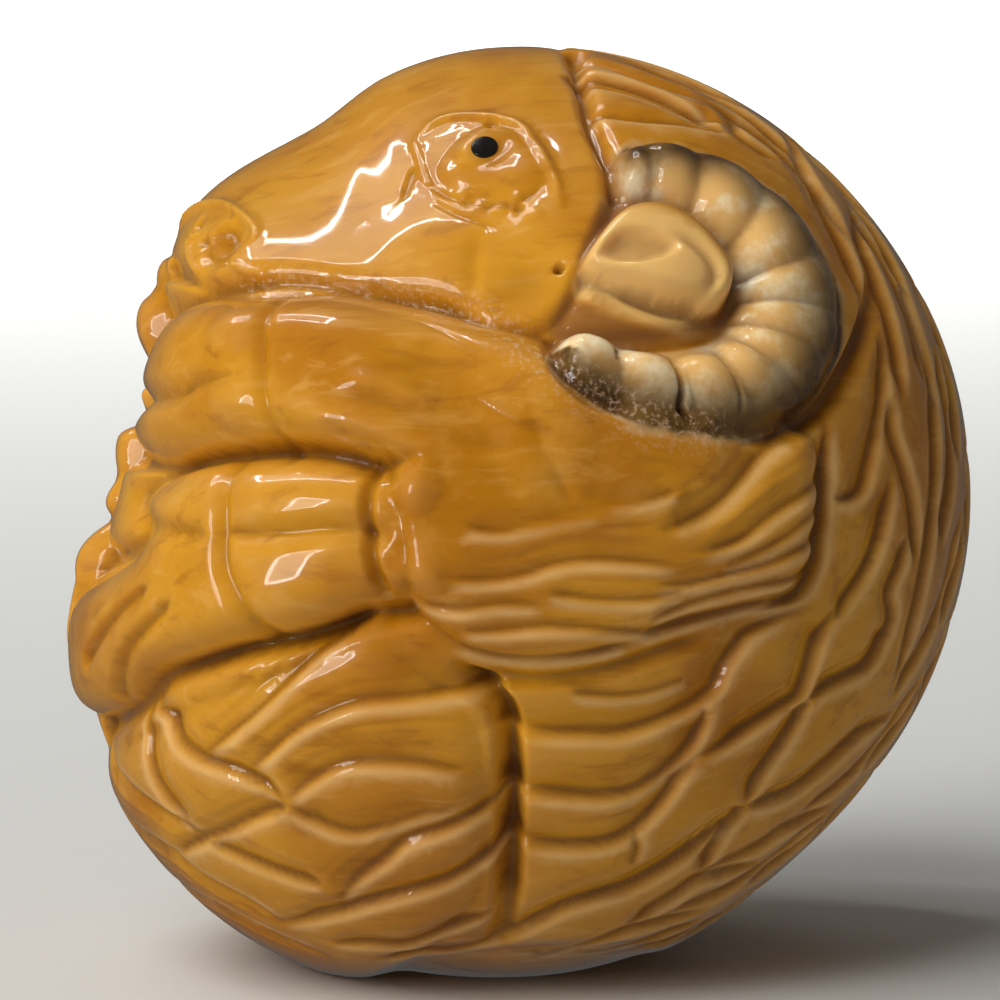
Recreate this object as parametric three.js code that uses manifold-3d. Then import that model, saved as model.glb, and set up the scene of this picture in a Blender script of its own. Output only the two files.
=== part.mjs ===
// A netsuke: a curled-up ram carved as one ball, with two inlaid black pupils.
// Millimetres, +Z up. The ram's nose points to -X and its left side, the show side, faces -Y.
//
// The ball is worked as a carver works it. A rounded blank comes first, then raised forms
// (head, legs, shoulder, haunch, horn, ear), then V-cuts that part the wool into locks, then
// creases. Each tool is a small function that says how far the surface stands off the blank.
// Places on the side of the ball are [x, z], measured from the ball's centre as they appear to
// someone who holds the ball at VIEW_DISTANCE. A third number, where there is one, is y.

import * as THREE from 'three';
import { mergeVertices } from 'three/addons/utils/BufferGeometryUtils.js';
import Module from 'manifold-3d';

const wasm = await Module();
wasm.setup();

// ---------------------------------------------------------------- driving dimensions

const HALF_DEPTH = 17.9;          // the blank's half thickness, side to side
const WASTE = 1.3;                // how far below the blank's skin the carver's zero level lies
const GROUND = 0.5;               // the lowest ground between the forms, above that level
const WOOL = 1.3;                 // the wool's skin
const BODY_SQUARENESS = 2.15;     // exponent of the blank's cross-section, 2 is an ellipse
const HEAD_SQUARENESS = 1.52;     // the head end is pinched narrower
const HEAD_DIRECTION = 112;       // degrees round the side outline, 0 at +X, 90 at the top
const HEAD_SPREAD = 62;           // degrees from there to where the body's section is back

// The blank's side outline: degrees round the ball and radius.
const RIM = [
  [0, 20.4], [20, 20.7], [42, 20.9], [60, 21.2], [80, 21.4], [96, 21.4], [107, 21.0], [118, 20.1],
  [137, 20.5], [150, 19.1], [165, 17.9], [182, 18.7], [197, 20.6], [212, 21.5], [235, 22.0],
  [258, 21.5], [285, 20.9], [310, 19.9], [335, 20.0],
];

const VIEW_DISTANCE = 300;
const MIDDLE_LEVEL = 1.0;         // height above the ground at which most places are given
const FAR_LEGS = [-0.9, 1.8];     // how much further out and up the far legs are tucked
const PARTING = -2.2;             // where the near and the far legs meet, across the ball

const LEAN = 8;                   // degrees that the ram leans back when it stands
const BASE_DEPTH = 0.75;          // how much is taken off below for the resting flat
const BASE_CLEAR = 5.0;           // radius of wool smoothed away round the flat
const BASE_BLEND = 2.0;
const BASE_LEVEL = 1.0;

const PUPIL_DIAMETER = 1.2;
const PUPIL_LENGTH = 1.7;
const PUPIL_PROUD = 0.12;
const PUPIL_GAP = 0.05;
const PUPIL_TURN = 0.45;          // how much of the head's slope the pegs follow
const EYE = [-1.6, 16.3];         // the pupil's place on the side of the head

const CORD_HOLE = 3.2;            // the plain cord hole's diameter
const CORD_MOUTH = 4.4;           // the wider one, which takes the knot
const CORD_PLACE = [1.5, -6.5];   // the middle between the two holes, on the far side
const CORD_SPACING = 9.5;
const CORD_SLANT = 1.2;           // the wide one is this much lower than the middle
const CORD_DEPTH = 6.2;
const MOUTH_LENGTH = 5;

const START_DETAIL = 70;          // divisions of the fine ball that the mesh is thinned from
const TRIANGLES = 8800;
const SLIVER = 0.12;              // least height of a face, as a share of its longest edge

const RADIANS = Math.PI / 180;

// ---------------------------------------------------------------- small helpers

const clamp = (value, low = 0, high = 1) => Math.min(high, Math.max(low, value));

const smooth = (value) => {
  const t = clamp(value);
  return t * t * (3 - 2 * t);
};

const mix = (a, b, t) => a + (b - a) * t;

// A smooth closed curve through [degrees, value] pairs.
function roundValue(pairs, degrees) {
  const count = pairs.length;
  const angle = ((degrees % 360) + 360) % 360;
  let i = count - 1;
  for (let k = 0; k < count; k++) {
    if (pairs[k][0] <= angle) i = k;
  }
  const node = (k) => {
    const turn = Math.floor(k / count);
    const [at, value] = pairs[k - turn * count];
    return [at + 360 * turn, value];
  };
  const [p0, p1, p2, p3] = [node(i - 1), node(i), node(i + 1), node(i + 2)];
  const span = p2[0] - p1[0];
  const t = (angle - p1[0]) / span;
  const slope1 = (p2[1] - p0[1]) / (p2[0] - p0[0]) * span;
  const slope2 = (p3[1] - p1[1]) / (p3[0] - p1[0]) * span;
  const t2 = t * t;
  const t3 = t2 * t;
  return (2 * t3 - 3 * t2 + 1) * p1[1] + (t3 - 2 * t2 + t) * slope1
    + (3 * t2 - 2 * t3) * p2[1] + (t3 - t2) * slope2;
}

// ---------------------------------------------------------------- the blank

function section(x, z) {
  const angle = Math.atan2(z, x) / RADIANS;
  const off = Math.abs(((angle - HEAD_DIRECTION + 540) % 360) - 180) / HEAD_SPREAD;
  return {
    rim: roundValue(RIM, angle),
    power: mix(HEAD_SQUARENESS, BODY_SQUARENESS, smooth(off)),
  };
}

// How far the blank reaches along a direction.
function blankRadius(x, y, z) {
  const { rim, power } = section(x, z);
  const side = Math.hypot(x, z) / rim;
  return (side ** power + (Math.abs(y) / HALF_DEPTH) ** power) ** (-1 / power);
}

// How much larger a place looks from the show side once it is cut to a level.
function apparentScale(depth, radius, level) {
  const cutTo = 1 + (level - WASTE) / radius;
  return cutTo / (1 - Math.abs(depth) * cutTo / VIEW_DISTANCE);
}

// A place given as [x, z] or [x, z, y], put on the blank.
function onBlank([seenX, seenZ, givenY], level = MIDDLE_LEVEL) {
  let [x, y, z] = [seenX, givenY ?? 0, seenZ];
  if (givenY === undefined) {
    for (let pass = 0; pass < 4; pass++) {
      const { rim, power } = section(x, z);
      const inside = 1 - clamp(Math.hypot(x, z) / rim, 0, 0.9999) ** power;
      y = -HALF_DEPTH * inside ** (1 / power);
      const scale = apparentScale(y, Math.hypot(x, y, z), level);
      [x, z] = [seenX / scale, seenZ / scale];
    }
  }
  const length = Math.hypot(x, y, z);
  const reach = blankRadius(x / length, y / length, z / length) / length;
  return [x * reach, y * reach, z * reach];
}

// Where a point of the blank appears once it is cut to a level.
function appears([x, y, z], level = MIDDLE_LEVEL) {
  const scale = apparentScale(y, Math.hypot(x, y, z), level);
  return [x * scale, z * scale];
}

// A smooth curve through a few places, laid on the blank.
function path(places, level, steps = 5) {
  const points = [];
  const last = places.length - 1;
  const knots = places.map((place) => onBlank(place, level));
  for (let i = 0; i < last; i++) {
    const p0 = knots[Math.max(i - 1, 0)];
    const p1 = knots[i];
    const p2 = knots[i + 1];
    const p3 = knots[Math.min(i + 2, last)];
    const end = i === last - 1 ? steps : steps - 1;
    for (let k = 0; k <= end; k++) {
      const t = k / steps;
      const point = [0, 1, 2].map((c) => 0.5 * (2 * p1[c] + (p2[c] - p0[c]) * t
        + (2 * p0[c] - 5 * p1[c] + 4 * p2[c] - p3[c]) * t * t
        + (3 * p1[c] - p0[c] - 3 * p2[c] + p3[c]) * t * t * t));
      points.push(onBlank([point[0], point[2], point[1]]));
    }
  }
  return points;
}

// The nearest place on a path: distance, which side of it, and how far along, 0 to 1.
function nearest(route, p) {
  let best = Infinity;
  let along = 0;
  let side = 1;
  for (let i = 0; i < route.length - 1; i++) {
    const [a, b] = [route[i], route[i + 1]];
    const d = [b[0] - a[0], b[1] - a[1], b[2] - a[2]];
    const q = [p[0] - a[0], p[1] - a[1], p[2] - a[2]];
    const t = clamp((d[0] * q[0] + d[1] * q[1] + d[2] * q[2]) / (d[0] ** 2 + d[1] ** 2 + d[2] ** 2));
    const e = [q[0] - d[0] * t, q[1] - d[1] * t, q[2] - d[2] * t];
    const distance = Math.hypot(...e);
    if (distance < best) {
      best = distance;
      along = (i + t) / (route.length - 1);
      const turn = (d[1] * e[2] - d[2] * e[1]) * p[0] + (d[2] * e[0] - d[0] * e[2]) * p[1]
        + (d[0] * e[1] - d[1] * e[0]) * p[2];
      side = turn < 0 ? -1 : 1;
    }
  }
  return { distance: best, along, side };
}

// Whether a point is near a path at all, by a ball round it.
function boundsOf(route, margin) {
  const centre = [0, 1, 2].map((c) => route.reduce((sum, p) => sum + p[c], 0) / route.length);
  const apart = (p) => Math.hypot(p[0] - centre[0], p[1] - centre[1], p[2] - centre[2]);
  const reach = Math.max(...route.map(apart));
  return (p) => apart(p) < reach + margin;
}

// ---------------------------------------------------------------- the carver's tools

// A tool is a function of a point on the blank's show side: it says how high the surface stands.

// A V-cut between two locks. It is steep up to the crest of the lock that lies over, which is
// on the left or the right hand of the cut's direction, and slopes long on the other.
function cut(places, depth, over = 'right', options = {}) {
  const { crest = 0.6, body = 2.0, level = WOOL, start = 0.12, end = 0.12, keen = 0.16 } = options;
  const route = path(places, level);
  const near = boundsOf(route, Math.max(crest, body));
  const [left, right] = over === 'left' ? [crest, body] : [body, crest];
  return (p) => {
    if (!near(p)) return 0;
    const { distance, along, side } = nearest(route, p);
    const v = Math.min(Math.hypot(distance / (side > 0 ? left : right), keen), 1);
    const fadeIn = start > 0 ? smooth(along / start) : 1;
    const fadeOut = end > 0 ? smooth((1 - along) / end) : 1;
    return depth * (1 - v) ** 2 * fadeIn * fadeOut;
  };
}

// A soft groove, or a ridge where the depth is negative. It fades at both ends, and a hard one
// is steeper on one side.
function groove(places, width, depth, { hard = 0, level } = {}) {
  const route = path(places, level);
  const near = boundsOf(route, width);
  return (p) => {
    if (!near(p)) return 0;
    const { distance, along, side } = nearest(route, p);
    const v = distance / (0.5 * width * (side * hard > 0 ? 1 - Math.abs(hard) : 1));
    return v < 1 ? -depth * (1 - v * v) ** 2 * smooth(Math.min(along, 1 - along) / 0.2) : 0;
  };
}

// A round swelling, or a dent where the rise is negative.
function swell(place, radius, rise, level) {
  const centre = onBlank(place, level);
  return (p) => {
    const v = Math.hypot(p[0] - centre[0], p[1] - centre[1], p[2] - centre[2]) / radius;
    return v < 1 ? rise * (1 - v * v) ** 1.5 : 0;
  };
}

// How deep a place is inside an outline seen from the side, negative outside. It is rounded
// off far from the edge, so that what is raised by it has no seams.
function insideBy(outline, x, z) {
  let pull = 0;
  let inside = false;
  for (let i = 0, j = outline.length - 1; i < outline.length; j = i++) {
    const [ax, az] = outline[j];
    const [bx, bz] = outline[i];
    const length = Math.hypot(bx - ax, bz - az);
    const s = ((x - ax) * (bx - ax) + (z - az) * (bz - az)) / length;
    const off = (((x - ax) * (bz - az) - (z - az) * (bx - ax)) / length) ** 2 + 1e-6;
    pull += (s / Math.sqrt(off + s * s) - (s - length) / Math.sqrt(off + (s - length) ** 2)) / off;
    if ((az > z) !== (bz > z) && x < (bx - ax) * (z - az) / (bz - az) + ax) inside = !inside;
  }
  const depth = 1 / Math.sqrt(0.5 * pull);
  return inside ? depth : -depth;
}

function closedCurve(places, steps = 4) {
  const count = places.length;
  const points = [];
  for (let i = 0; i < count; i++) {
    const [p0, p1, p2, p3] = [-1, 0, 1, 2].map((k) => places[(i + k + count) % count]);
    for (let k = 0; k < steps; k++) {
      const t = k / steps;
      points.push([0, 1].map((c) => 0.5 * (2 * p1[c] + (p2[c] - p0[c]) * t
        + (2 * p0[c] - 5 * p1[c] + 4 * p2[c] - p3[c]) * t * t
        + (3 * p1[c] - p0[c] - 3 * p2[c] + p3[c]) * t * t * t)));
    }
  }
  return points;
}

// A raised form with a rounded edge. The outset moves its foot a little outside the outline.
function form(places, rise, edge, level = 0.5 * rise, outset = 0) {
  const outline = closedCurve(places);
  const lowest = [0, 1].map((c) => Math.min(...outline.map((place) => place[c])) - outset);
  const most = [0, 1].map((c) => Math.max(...outline.map((place) => place[c])) + outset);
  return (p) => {
    const [x, z] = appears(p, level);
    if (x < lowest[0] || z < lowest[1] || x > most[0] || z > most[1]) return 0;
    const depth = insideBy(outline, x, z) + outset;
    return depth > 0 ? rise * (1 - (1 - clamp(depth / edge)) ** 2) : 0;
  };
}

// ---------------------------------------------------------------- the horn

// Half a round bar that coils round the ear, thin at both ends. Its growth rings are deep on the
// inner side of the coil and nearly worn away on the outer side.
const HORN = {
  route: [[4.2, 16.7], [6.8, 16.6], [9.5, 15.6], [11.7, 13.8], [12.9, 11.6], [13.1, 9.4], [12.2, 7.3],
    [10.3, 6.1], [8, 5.9], [5.5, 6.3], [3, 7.5]],
  widths: [1.2, 1.6, 2.1, 2.5, 2.8, 2.8, 2.6, 2.3, 2.1, 1.9, 1.5],
  rise: 2.5,
  rings: 11,
  ringDepth: 0.62,
};

function horn() {
  const route = path(HORN.route, HORN.rise);
  const near = boundsOf(route, 4);
  return (p) => {
    if (!near(p)) return 0;
    const { distance, along, side } = nearest(route, p);
    const place = along * (HORN.widths.length - 1);
    const i = Math.min(Math.floor(place), HORN.widths.length - 2);
    const v = distance / mix(HORN.widths[i], HORN.widths[i + 1], place - i);
    if (v >= 1) return 0;
    const phase = along * HORN.rings + 0.22 * side * v + 0.3 * Math.sin(11 * along);
    const ring = Math.abs(2 * (phase - Math.floor(phase)) - 1) ** 2.2;
    const inner = 0.6 - 0.4 * side * v;
    const bar = HORN.rise * (1 - v ** 2.6) ** 0.6 - HORN.ringDepth * inner * ring * (1 - v ** 6);
    return bar * smooth(0.3 + along / 0.1);
  };
}

// ---------------------------------------------------------------- outlines of the raised forms

const HEAD = [
  [-15.2, 11.2], [-14.1, 10.5], [-12.5, 10.8], [-10, 10.9], [-7.5, 10.5], [-5.2, 10.1],
  [-3, 9.7], [-1.9, 8.7], [0, 8.4], [1.4, 9.1], [2.4, 10.6], [3.1, 12], [3.7, 13.9],
  [3.6, 15.7], [3, 17.4], [2.6, 19], [2, 20.7], [2.2, 24], [-8, 26], [-16, 20], [-20, 14],
];
const EAR = [
  [2.6, 11.4], [3.5, 12.9], [4.5, 13.8], [6.1, 14], [7.7, 13.3], [8.9, 12.1], [9.6, 10.9],
  [9.4, 9.6], [8.5, 9.1], [7.3, 9.3], [5.7, 9.7], [4.3, 10.3], [3.1, 10.8],
];
const EAR_HOLLOW = [
  [3.5, 12.1], [4.6, 12.9], [6, 13.1], [7.5, 12.4], [8.6, 11.2], [8.7, 10.3], [7.9, 9.9],
  [6.3, 10.3], [4.8, 11],
];
// The floor of the horn's coil, under the ear.
const COIL = [
  [1.4, 8.6], [2.4, 10.8], [3.4, 13.6], [5, 15.2], [8, 14.4], [10, 12.2], [10.4, 10],
  [9, 8.6], [6, 8], [3, 8],
];
const FORELEG = [
  [-17.3, 7.4], [-16.4, 9.1], [-14.4, 10.2], [-11.4, 10.3], [-8.6, 10.5], [-5.5, 10],
  [-2.7, 9.4], [0.3, 8.6], [3.5, 7], [5.5, 4], [5, 0.5], [0, -0.6], [-3.5, 0.6],
  [-5.6, 1.7], [-8.4, 2.5], [-11.1, 2.8], [-13.9, 2.5], [-16.6, 2.3], [-17.9, 3.1],
  [-18.1, 4.2], [-17.5, 5.1], [-17.7, 6.2],
];
const HIND_LEG = [
  [-17.4, 0.8], [-16.6, 1.7], [-15.4, 2.3], [-13.9, 2.75], [-10, 2.95], [-8, 2.8], [-6, 2.6],
  [-3, 2.4], [-2.5, -2], [-4.4, -4], [-6.4, -4.5], [-8, -4.9], [-10, -5.5], [-12.3, -6],
  [-14.6, -6.7], [-16.4, -7.4], [-17.4, -8.6], [-19, -9.6], [-23, -11.5], [-25, -5],
  [-20.8, -2.8], [-18.9, -2.2], [-17.5, -1.3], [-17.2, -0.4],
];
const SHOULDER = [
  [-6.6, 2.2], [-6.6, 0], [-6.3, -1.8], [-5.7, -3.6], [-4.8, -5], [-3.6, -6], [-2.6, -6.7],
  [-1, -7.1], [1, -7.2], [3, -6.9], [5.5, -6.2], [7.5, -5.3], [9.5, -4.9], [11.5, -4.4],
  [13, -3.7], [13.8, -2.4], [14.1, -0.8], [14.2, 0.8], [14.2, 3], [13, 5], [9, 5.6],
  [4, 6.5], [1, 7.6], [-2, 7], [-4.5, 4.6],
];
const HAUNCH = [
  [-18.5, -9.4], [-16.6, -8.2], [-14, -7.1], [-11, -6.1], [-8.4, -5.1], [-6.4, -4.2],
  [-4.8, -5.6], [-3, -7.2], [-1.5, -8.2], [-0.7, -10], [-0.4, -13], [-0.4, -16],
  [-1, -18.2], [-2.8, -20.2], [-6, -22.6], [-14, -24], [-24, -12],
];

const overHorn = horn();
const forms = [
  form(HAUNCH, 2.1, 3.8, 1.5, 0.25),
  form(HEAD, 1.15, 1.2, 0.575, 0.7),
  form(SHOULDER, 2.5, 2.2, 1.7, 0.2),
  form(COIL, 1.5, 1, 1),
  form(EAR, 2.8, 0.9, 1.4, 0.1),
];
const legs = [
  form(HIND_LEG, 2.2, 2.4, 1.1, 0.25),
  form(FORELEG, 2.6, 2.6, 1.3, 0.25),
];

// ---------------------------------------------------------------- locks of wool

// On the haunch the locks fan out from the cleft to the lower left.
const haunchCuts = [
  cut([[-8, -5.4], [-9.5, -6.4], [-10.7, -7.6], [-11.8, -8.7], [-13, -9.7], [-14.2, -10.7]], 0.6,
    'left', { start: 0 }),
  cut([[-1.2, -8], [-4, -8.1], [-7, -8.2], [-9, -8.9], [-10.2, -9.6], [-11.2, -10.5], [-12.1, -11.3]],
    0.65, 'left', { start: 0 }),
  cut([[-2.4, -11.3], [-4.5, -10.9], [-6.5, -10.8], [-8, -11], [-9.2, -11.6], [-10.4, -12.5]], 0.5,
    'left'),
  cut([[-16.9, -8.6], [-16, -9.2], [-15.2, -10.1], [-14, -10.8], [-12.5, -11.3], [-11.3, -11.9],
    [-10.3, -12.5]], 0.65, 'right', { body: 1.4 }),
  cut([[-15.2, -14.8], [-14, -14.3], [-13, -13.9], [-12, -13.4], [-11, -13], [-10.2, -12.7]], 0.6,
    'right', { body: 1.6 }),
  cut([[-10.3, -12.7], [-9, -13.4], [-7.5, -13.9], [-6, -13.7], [-4.5, -13.2], [-2.8, -12.8]], 0.45,
    'right', { body: 1.6 }),
  cut([[-1.2, -13.2], [-3.3, -13.8], [-5, -14.3], [-6, -15.1], [-7.2, -16], [-8.2, -17.1]], 0.6, 'left',
    { body: 1.5, start: 0 }),
  cut([[-13.8, -14.3], [-12.6, -14.9], [-11.4, -15.4], [-10, -15.9], [-8.6, -16.2]], 0.5, 'right',
    { body: 1.5 }),
  cut([[-0.4, -15], [-1.3, -15.4], [-3, -16.1], [-5, -16.6], [-6.5, -17], [-7.8, -17.4], [-9.2, -17.7],
    [-10.6, -17.9]], 0.6, 'left', { body: 1.5, start: 0 }),
  cut([[-1.2, -18], [-3.3, -18.8], [-5, -19.1], [-6.5, -18.9], [-8.4, -18.7]], 0.45, 'left',
    { body: 1.4 }),
  cut([[-1, -19.4], [-3, -19.9], [-4.5, -19.9], [-6.2, -19.5]], 0.45, 'left', { body: 1.2, start: 0 }),
  cut([[-17.2, -9], [-16.6, -10.6], [-16, -11.8], [-15.2, -12.9], [-14.3, -14]], 0.5, 'right',
    { body: 1.8 }),
  cut([[-18.9, -9.8], [-18.1, -11.2], [-17, -12.1], [-16, -12.8], [-15, -13.5], [-14, -14.3]], 0.5,
    'left', { body: 1.2 }),
  cut([[-18.8, -11.4], [-17.2, -13.2], [-15.5, -14.6], [-14, -15.8], [-12, -16.9], [-10.3, -17.9]],
    0.45, 'left', { body: 1.2 }),
  cut([[-18.4, -12.8], [-16, -15.2], [-13.5, -17], [-11.4, -18.1], [-8.6, -19.2]], 0.45, 'left',
    { body: 1.2 }),
];

// Behind the cleft they sweep up and round the back.
const backCuts = [
  cut([[0, -9.9], [1.5, -10], [3, -10], [4.5, -10], [6, -9.6], [7.2, -9.1], [8.1, -8.6], [8.9, -7.9],
    [9.3, -7], [9.9, -6.1], [10.5, -5.4], [11.5, -4.8], [12.8, -4.2]], 0.7, 'right', { start: 0 }),
  cut([[0, -12.7], [2, -12.85], [3.5, -12.95], [5, -12.8], [6, -12.3], [7, -11.5], [7.8, -10.6],
    [8.3, -9.6], [8.5, -8.6]], 0.7, 'right', { start: 0 }),
  cut([[0, -15], [2, -15.2], [3.8, -15.1], [5, -14.6], [5.9, -13.8], [6.7, -12.9], [7.3, -12],
    [8.1, -11]], 0.65, 'right', { start: 0 }),
  cut([[-1, -19.5], [0.3, -18.9], [1.9, -18.1], [3.4, -17.6], [5, -17.1], [6.5, -16.3], [8, -15.3],
    [9.2, -14.5], [9.8, -13.9], [10.4, -13.2]], 0.7, 'right', { start: 0 }),
  cut([[8.1, -11.1], [9.5, -10.4], [10.8, -9.6], [11.9, -8.9], [12.8, -8.3], [13.2, -7.3], [13.5, -6.2],
    [13.9, -5.2], [14.6, -4]], 0.7, 'right'),
  cut([[10.2, -13.3], [10.8, -12.2], [11.5, -11.2], [12.2, -10.2], [12.8, -9.2], [13.2, -8.4]], 0.65,
    'right', { body: 1.6 }),
  cut([[8.2, -16.3], [9, -15], [9.7, -14], [10.3, -13.3]], 0.6, 'right', { body: 1.4 }),
  cut([[13.1, -8.5], [14, -7.9], [15, -7.4], [15.8, -7], [16.3, -6.4], [16.7, -5.5], [17.1, -4.4]],
    0.65, 'right', { body: 1.8 }),
  cut([[10.2, -13.3], [11.4, -13.1], [12.6, -12.6], [14, -11.5], [15, -10.6], [15.8, -9.9],
    [17.2, -8.8]], 0.6, 'right', { body: 1.8 }),
  cut([[8.2, -16.4], [9.5, -16], [11, -15.2], [12, -14.5], [13, -14], [14.2, -13.2]], 0.55, 'right',
    { body: 1.5 }),
  cut([[4.6, -19], [6, -18.1], [7, -17.5], [8.2, -16.7], [9.4, -16.4], [11, -15.8]], 0.55, 'right',
    { body: 1.5 }),
  cut([[-0.2, -20.5], [1.5, -20.1], [3.5, -19.6], [5, -19], [6.6, -18.6], [8.4, -17.9]], 0.5, 'right',
    { body: 1.2 }),
  cut([[5.1, -14.6], [5.3, -15.2], [5, -16]], 0.25, 'left', { body: 0.6 }),
  cut([[2.2, -8], [4.2, -8.2], [6, -8], [7.6, -7.4]], 0.3, 'right', { body: 1 }),
];

// The neck and the mane, down the back of the horn, and the tufts on the head.
const maneCuts = [
  cut([[14.2, 4.8], [14.1, 3], [14.15, 1.8], [14.1, 1], [14.05, 0], [13.9, -1], [13.8, -2], [13.4, -3],
    [12.9, -3.7], [12, -4.1], [10.5, -4.6]], 0.7, 'left', { body: 0.9, level: 1.6 }),
  cut([[14.2, 0.8], [15, 0.8], [15.6, 1.2], [15.9, 2.2], [16.2, 3.5], [16.5, 5], [16.6, 7], [16.3, 9]],
    0.55, 'right', { body: 1.5 }),
  cut([[16.8, 5.6], [17, 3.9], [17.5, 2.3], [17.9, 0.8], [18.05, -0.8], [18, -2.2]], 0.5, 'left',
    { body: 1.2 }),
  cut([[16.9, 1.8], [16.7, 0], [16.3, -1.5], [15.7, -2.8], [15, -3.8], [14.3, -4.9]], 0.6, 'left',
    { body: 1.8 }),
  cut([[17.7, -0.8], [17.4, -2.2], [16.9, -3.5], [17, -4.7], [16.4, -6.2]], 0.5, 'left', { body: 1.3 }),
  cut([[18.5, 7.2], [18.9, 4.5], [19, 2], [18.8, -0.5], [18.4, -3], [17.8, -5.5], [16.9, -8]], 0.5,
    'left', { body: 1.2 }),
  cut([[9.6, 18.4], [9.9, 17.6], [10.6, 17], [11.8, 16.2]], 0.5, 'left', { body: 1 }),
  cut([[12.2, 17.1], [12.9, 16], [13.5, 15], [14.1, 13.8], [14.7, 12.6], [15.3, 11.2], [15.6, 9.6]],
    0.6, 'left', { body: 1.6 }),
  cut([[15.1, 14], [15.6, 12.6], [16.3, 10.8], [16.9, 9], [17.3, 7], [17.4, 5.4]], 0.55, 'left',
    { body: 1.5 }),
  cut([[17.2, 11], [18, 8.9], [18.6, 6.8], [19, 4.6]], 0.45, 'left', { body: 1 }),
  cut([[2.6, 20.8], [4, 20.4], [6, 19.7], [8.2, 18.9]], 0.45, 'right', { body: 0.9 }),
  cut([[3, 19.7], [5, 19.3], [7.4, 18.5], [9.6, 17.8]], 0.5, 'right', { body: 1 }),
  cut([[3.2, 18.4], [5.2, 18.1], [7.4, 17.9], [9.4, 17.5]], 0.5, 'right', { body: 0.9 }),
];

// Long strands on the shoulder and a fan of them behind it.
const ON_SHOULDER = { level: 2.3, start: 0 };
const shoulderCuts = [
  cut([[12.2, 3.8], [10.9, 2.8], [10.1, 1.8], [9.2, 0.8], [8.2, 0.1], [6.6, -0.6]], 0.9, 'left',
    { ...ON_SHOULDER, crest: 1, body: 1.8 }),
  cut([[14.2, 1.9], [13, 1.1], [12, 0.5], [11, -0.2], [9.8, -1.1], [8, -1.7]], 0.5, 'left',
    { ...ON_SHOULDER, crest: 0.5, body: 1.1 }),
  cut([[14.1, 0.3], [13.1, -0.1], [12, -0.9], [10.6, -1.7], [9, -2.3]], 0.3, 'left', { ...ON_SHOULDER,
    crest: 0.4, body: 0.6 }),
  cut([[14, -0.9], [12.8, -1.5], [11.4, -2.1], [9.6, -2.6], [7.8, -3], [6, -3.1]], 0.5, 'left',
    { ...ON_SHOULDER, crest: 0.5, body: 1 }),
  cut([[13.5, -2.8], [12, -3], [10.2, -3.3], [8.6, -3.7], [7.2, -4.2], [5.8, -4.8]], 0.5, 'left',
    { ...ON_SHOULDER, crest: 0.5, body: 1 }),
  cut([[12.8, -3.9], [11, -4.2], [9, -4.6], [7.6, -5], [6.2, -5.3], [4.6, -5.1]], 0.4, 'left',
    { crest: 0.4, body: 0.8, level: 2 }),
  cut([[-2.8, -5.2], [-1, -5.1], [1, -4.9], [3, -5], [5, -5.3], [6.8, -5.7]], 0.45, 'right',
    { crest: 0.5, body: 1.3, level: 2.2 }),
  cut([[-3, -5.9], [-1.2, -6.4], [1, -6.5], [3, -6.3], [5, -5.9]], 0.35, 'right', { crest: 0.4,
    body: 0.8, level: 1.8 }),
  cut([[-3.6, -2.8], [-1.5, -2.8], [0, -2.6], [1.5, -2.1], [3.2, -1.9], [5.2, -2], [7.2, -2.2]], 0.45,
    'right', { crest: 0.5, body: 1.6, level: 2.3 }),
  cut([[1.2, -3.4], [3.4, -3.7], [5.6, -3.7], [7.4, -3.4]], 0.3, 'right', { crest: 0.4, body: 1,
    level: 2.3 }),
  cut([[-2.6, -0.4], [-1, -0.6], [0.5, -0.3], [2, 0.1], [3.6, 0.2]], 0.3, 'right', { crest: 0.5,
    body: 1.2, level: 2.3 }),
  cut([[0.5, 4.6], [0.9, 3.2], [1.6, 2.1], [2, 1.1], [2.4, 0.2]], 0.35, 'left', { crest: 0.8, body: 1.6,
    level: 2.3 }),
  cut([[2.4, 1], [4, 0.7], [5.6, 0.8], [7, 1.2]], 0.25, 'right', { crest: 0.5, body: 1.2, level: 2.3 }),
  cut([[-5.4, -3], [-4.4, -3.9], [-3, -4.1], [-1, -3.9], [1, -3.9]], 0.35, 'right', { crest: 0.5,
    body: 1, level: 2.2 }),
];

// Rows of locks over the spine, staggered like roof shingles.
const SPINE_ROWS = 4;
const SPINE_SPACING = 2.5;
const LOCKS_IN_ROW = 8;
const LOCK_TURN = 22;             // degrees from one lock to the next
const LOCK_RUN = 26;              // degrees that a lock is long
const SPINE_RADIUS = 19;

function spineCuts() {
  const cuts = [];
  for (let row = -1; row < SPINE_ROWS - 1; row++) {
    for (let lock = 0; lock < LOCKS_IN_ROW; lock++) {
      const from = 88 - lock * LOCK_TURN - (Math.abs(row) % 2) * LOCK_TURN / 2;
      const places = [0, 0.35, 0.7, 1].map((t) => {
        const angle = (from - LOCK_RUN * t) * RADIANS;
        const across = -0.2 - SPINE_SPACING * (row + 1.15 * t * t);
        return [SPINE_RADIUS * Math.cos(angle), SPINE_RADIUS * Math.sin(angle), across];
      });
      cuts.push(cut(places, 0.5, 'left', { body: 1.6 }));
    }
  }
  return cuts;
}

const woolCuts = [...haunchCuts, ...backCuts, ...maneCuts, ...spineCuts()];

// ---------------------------------------------------------------- creases and features

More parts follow.
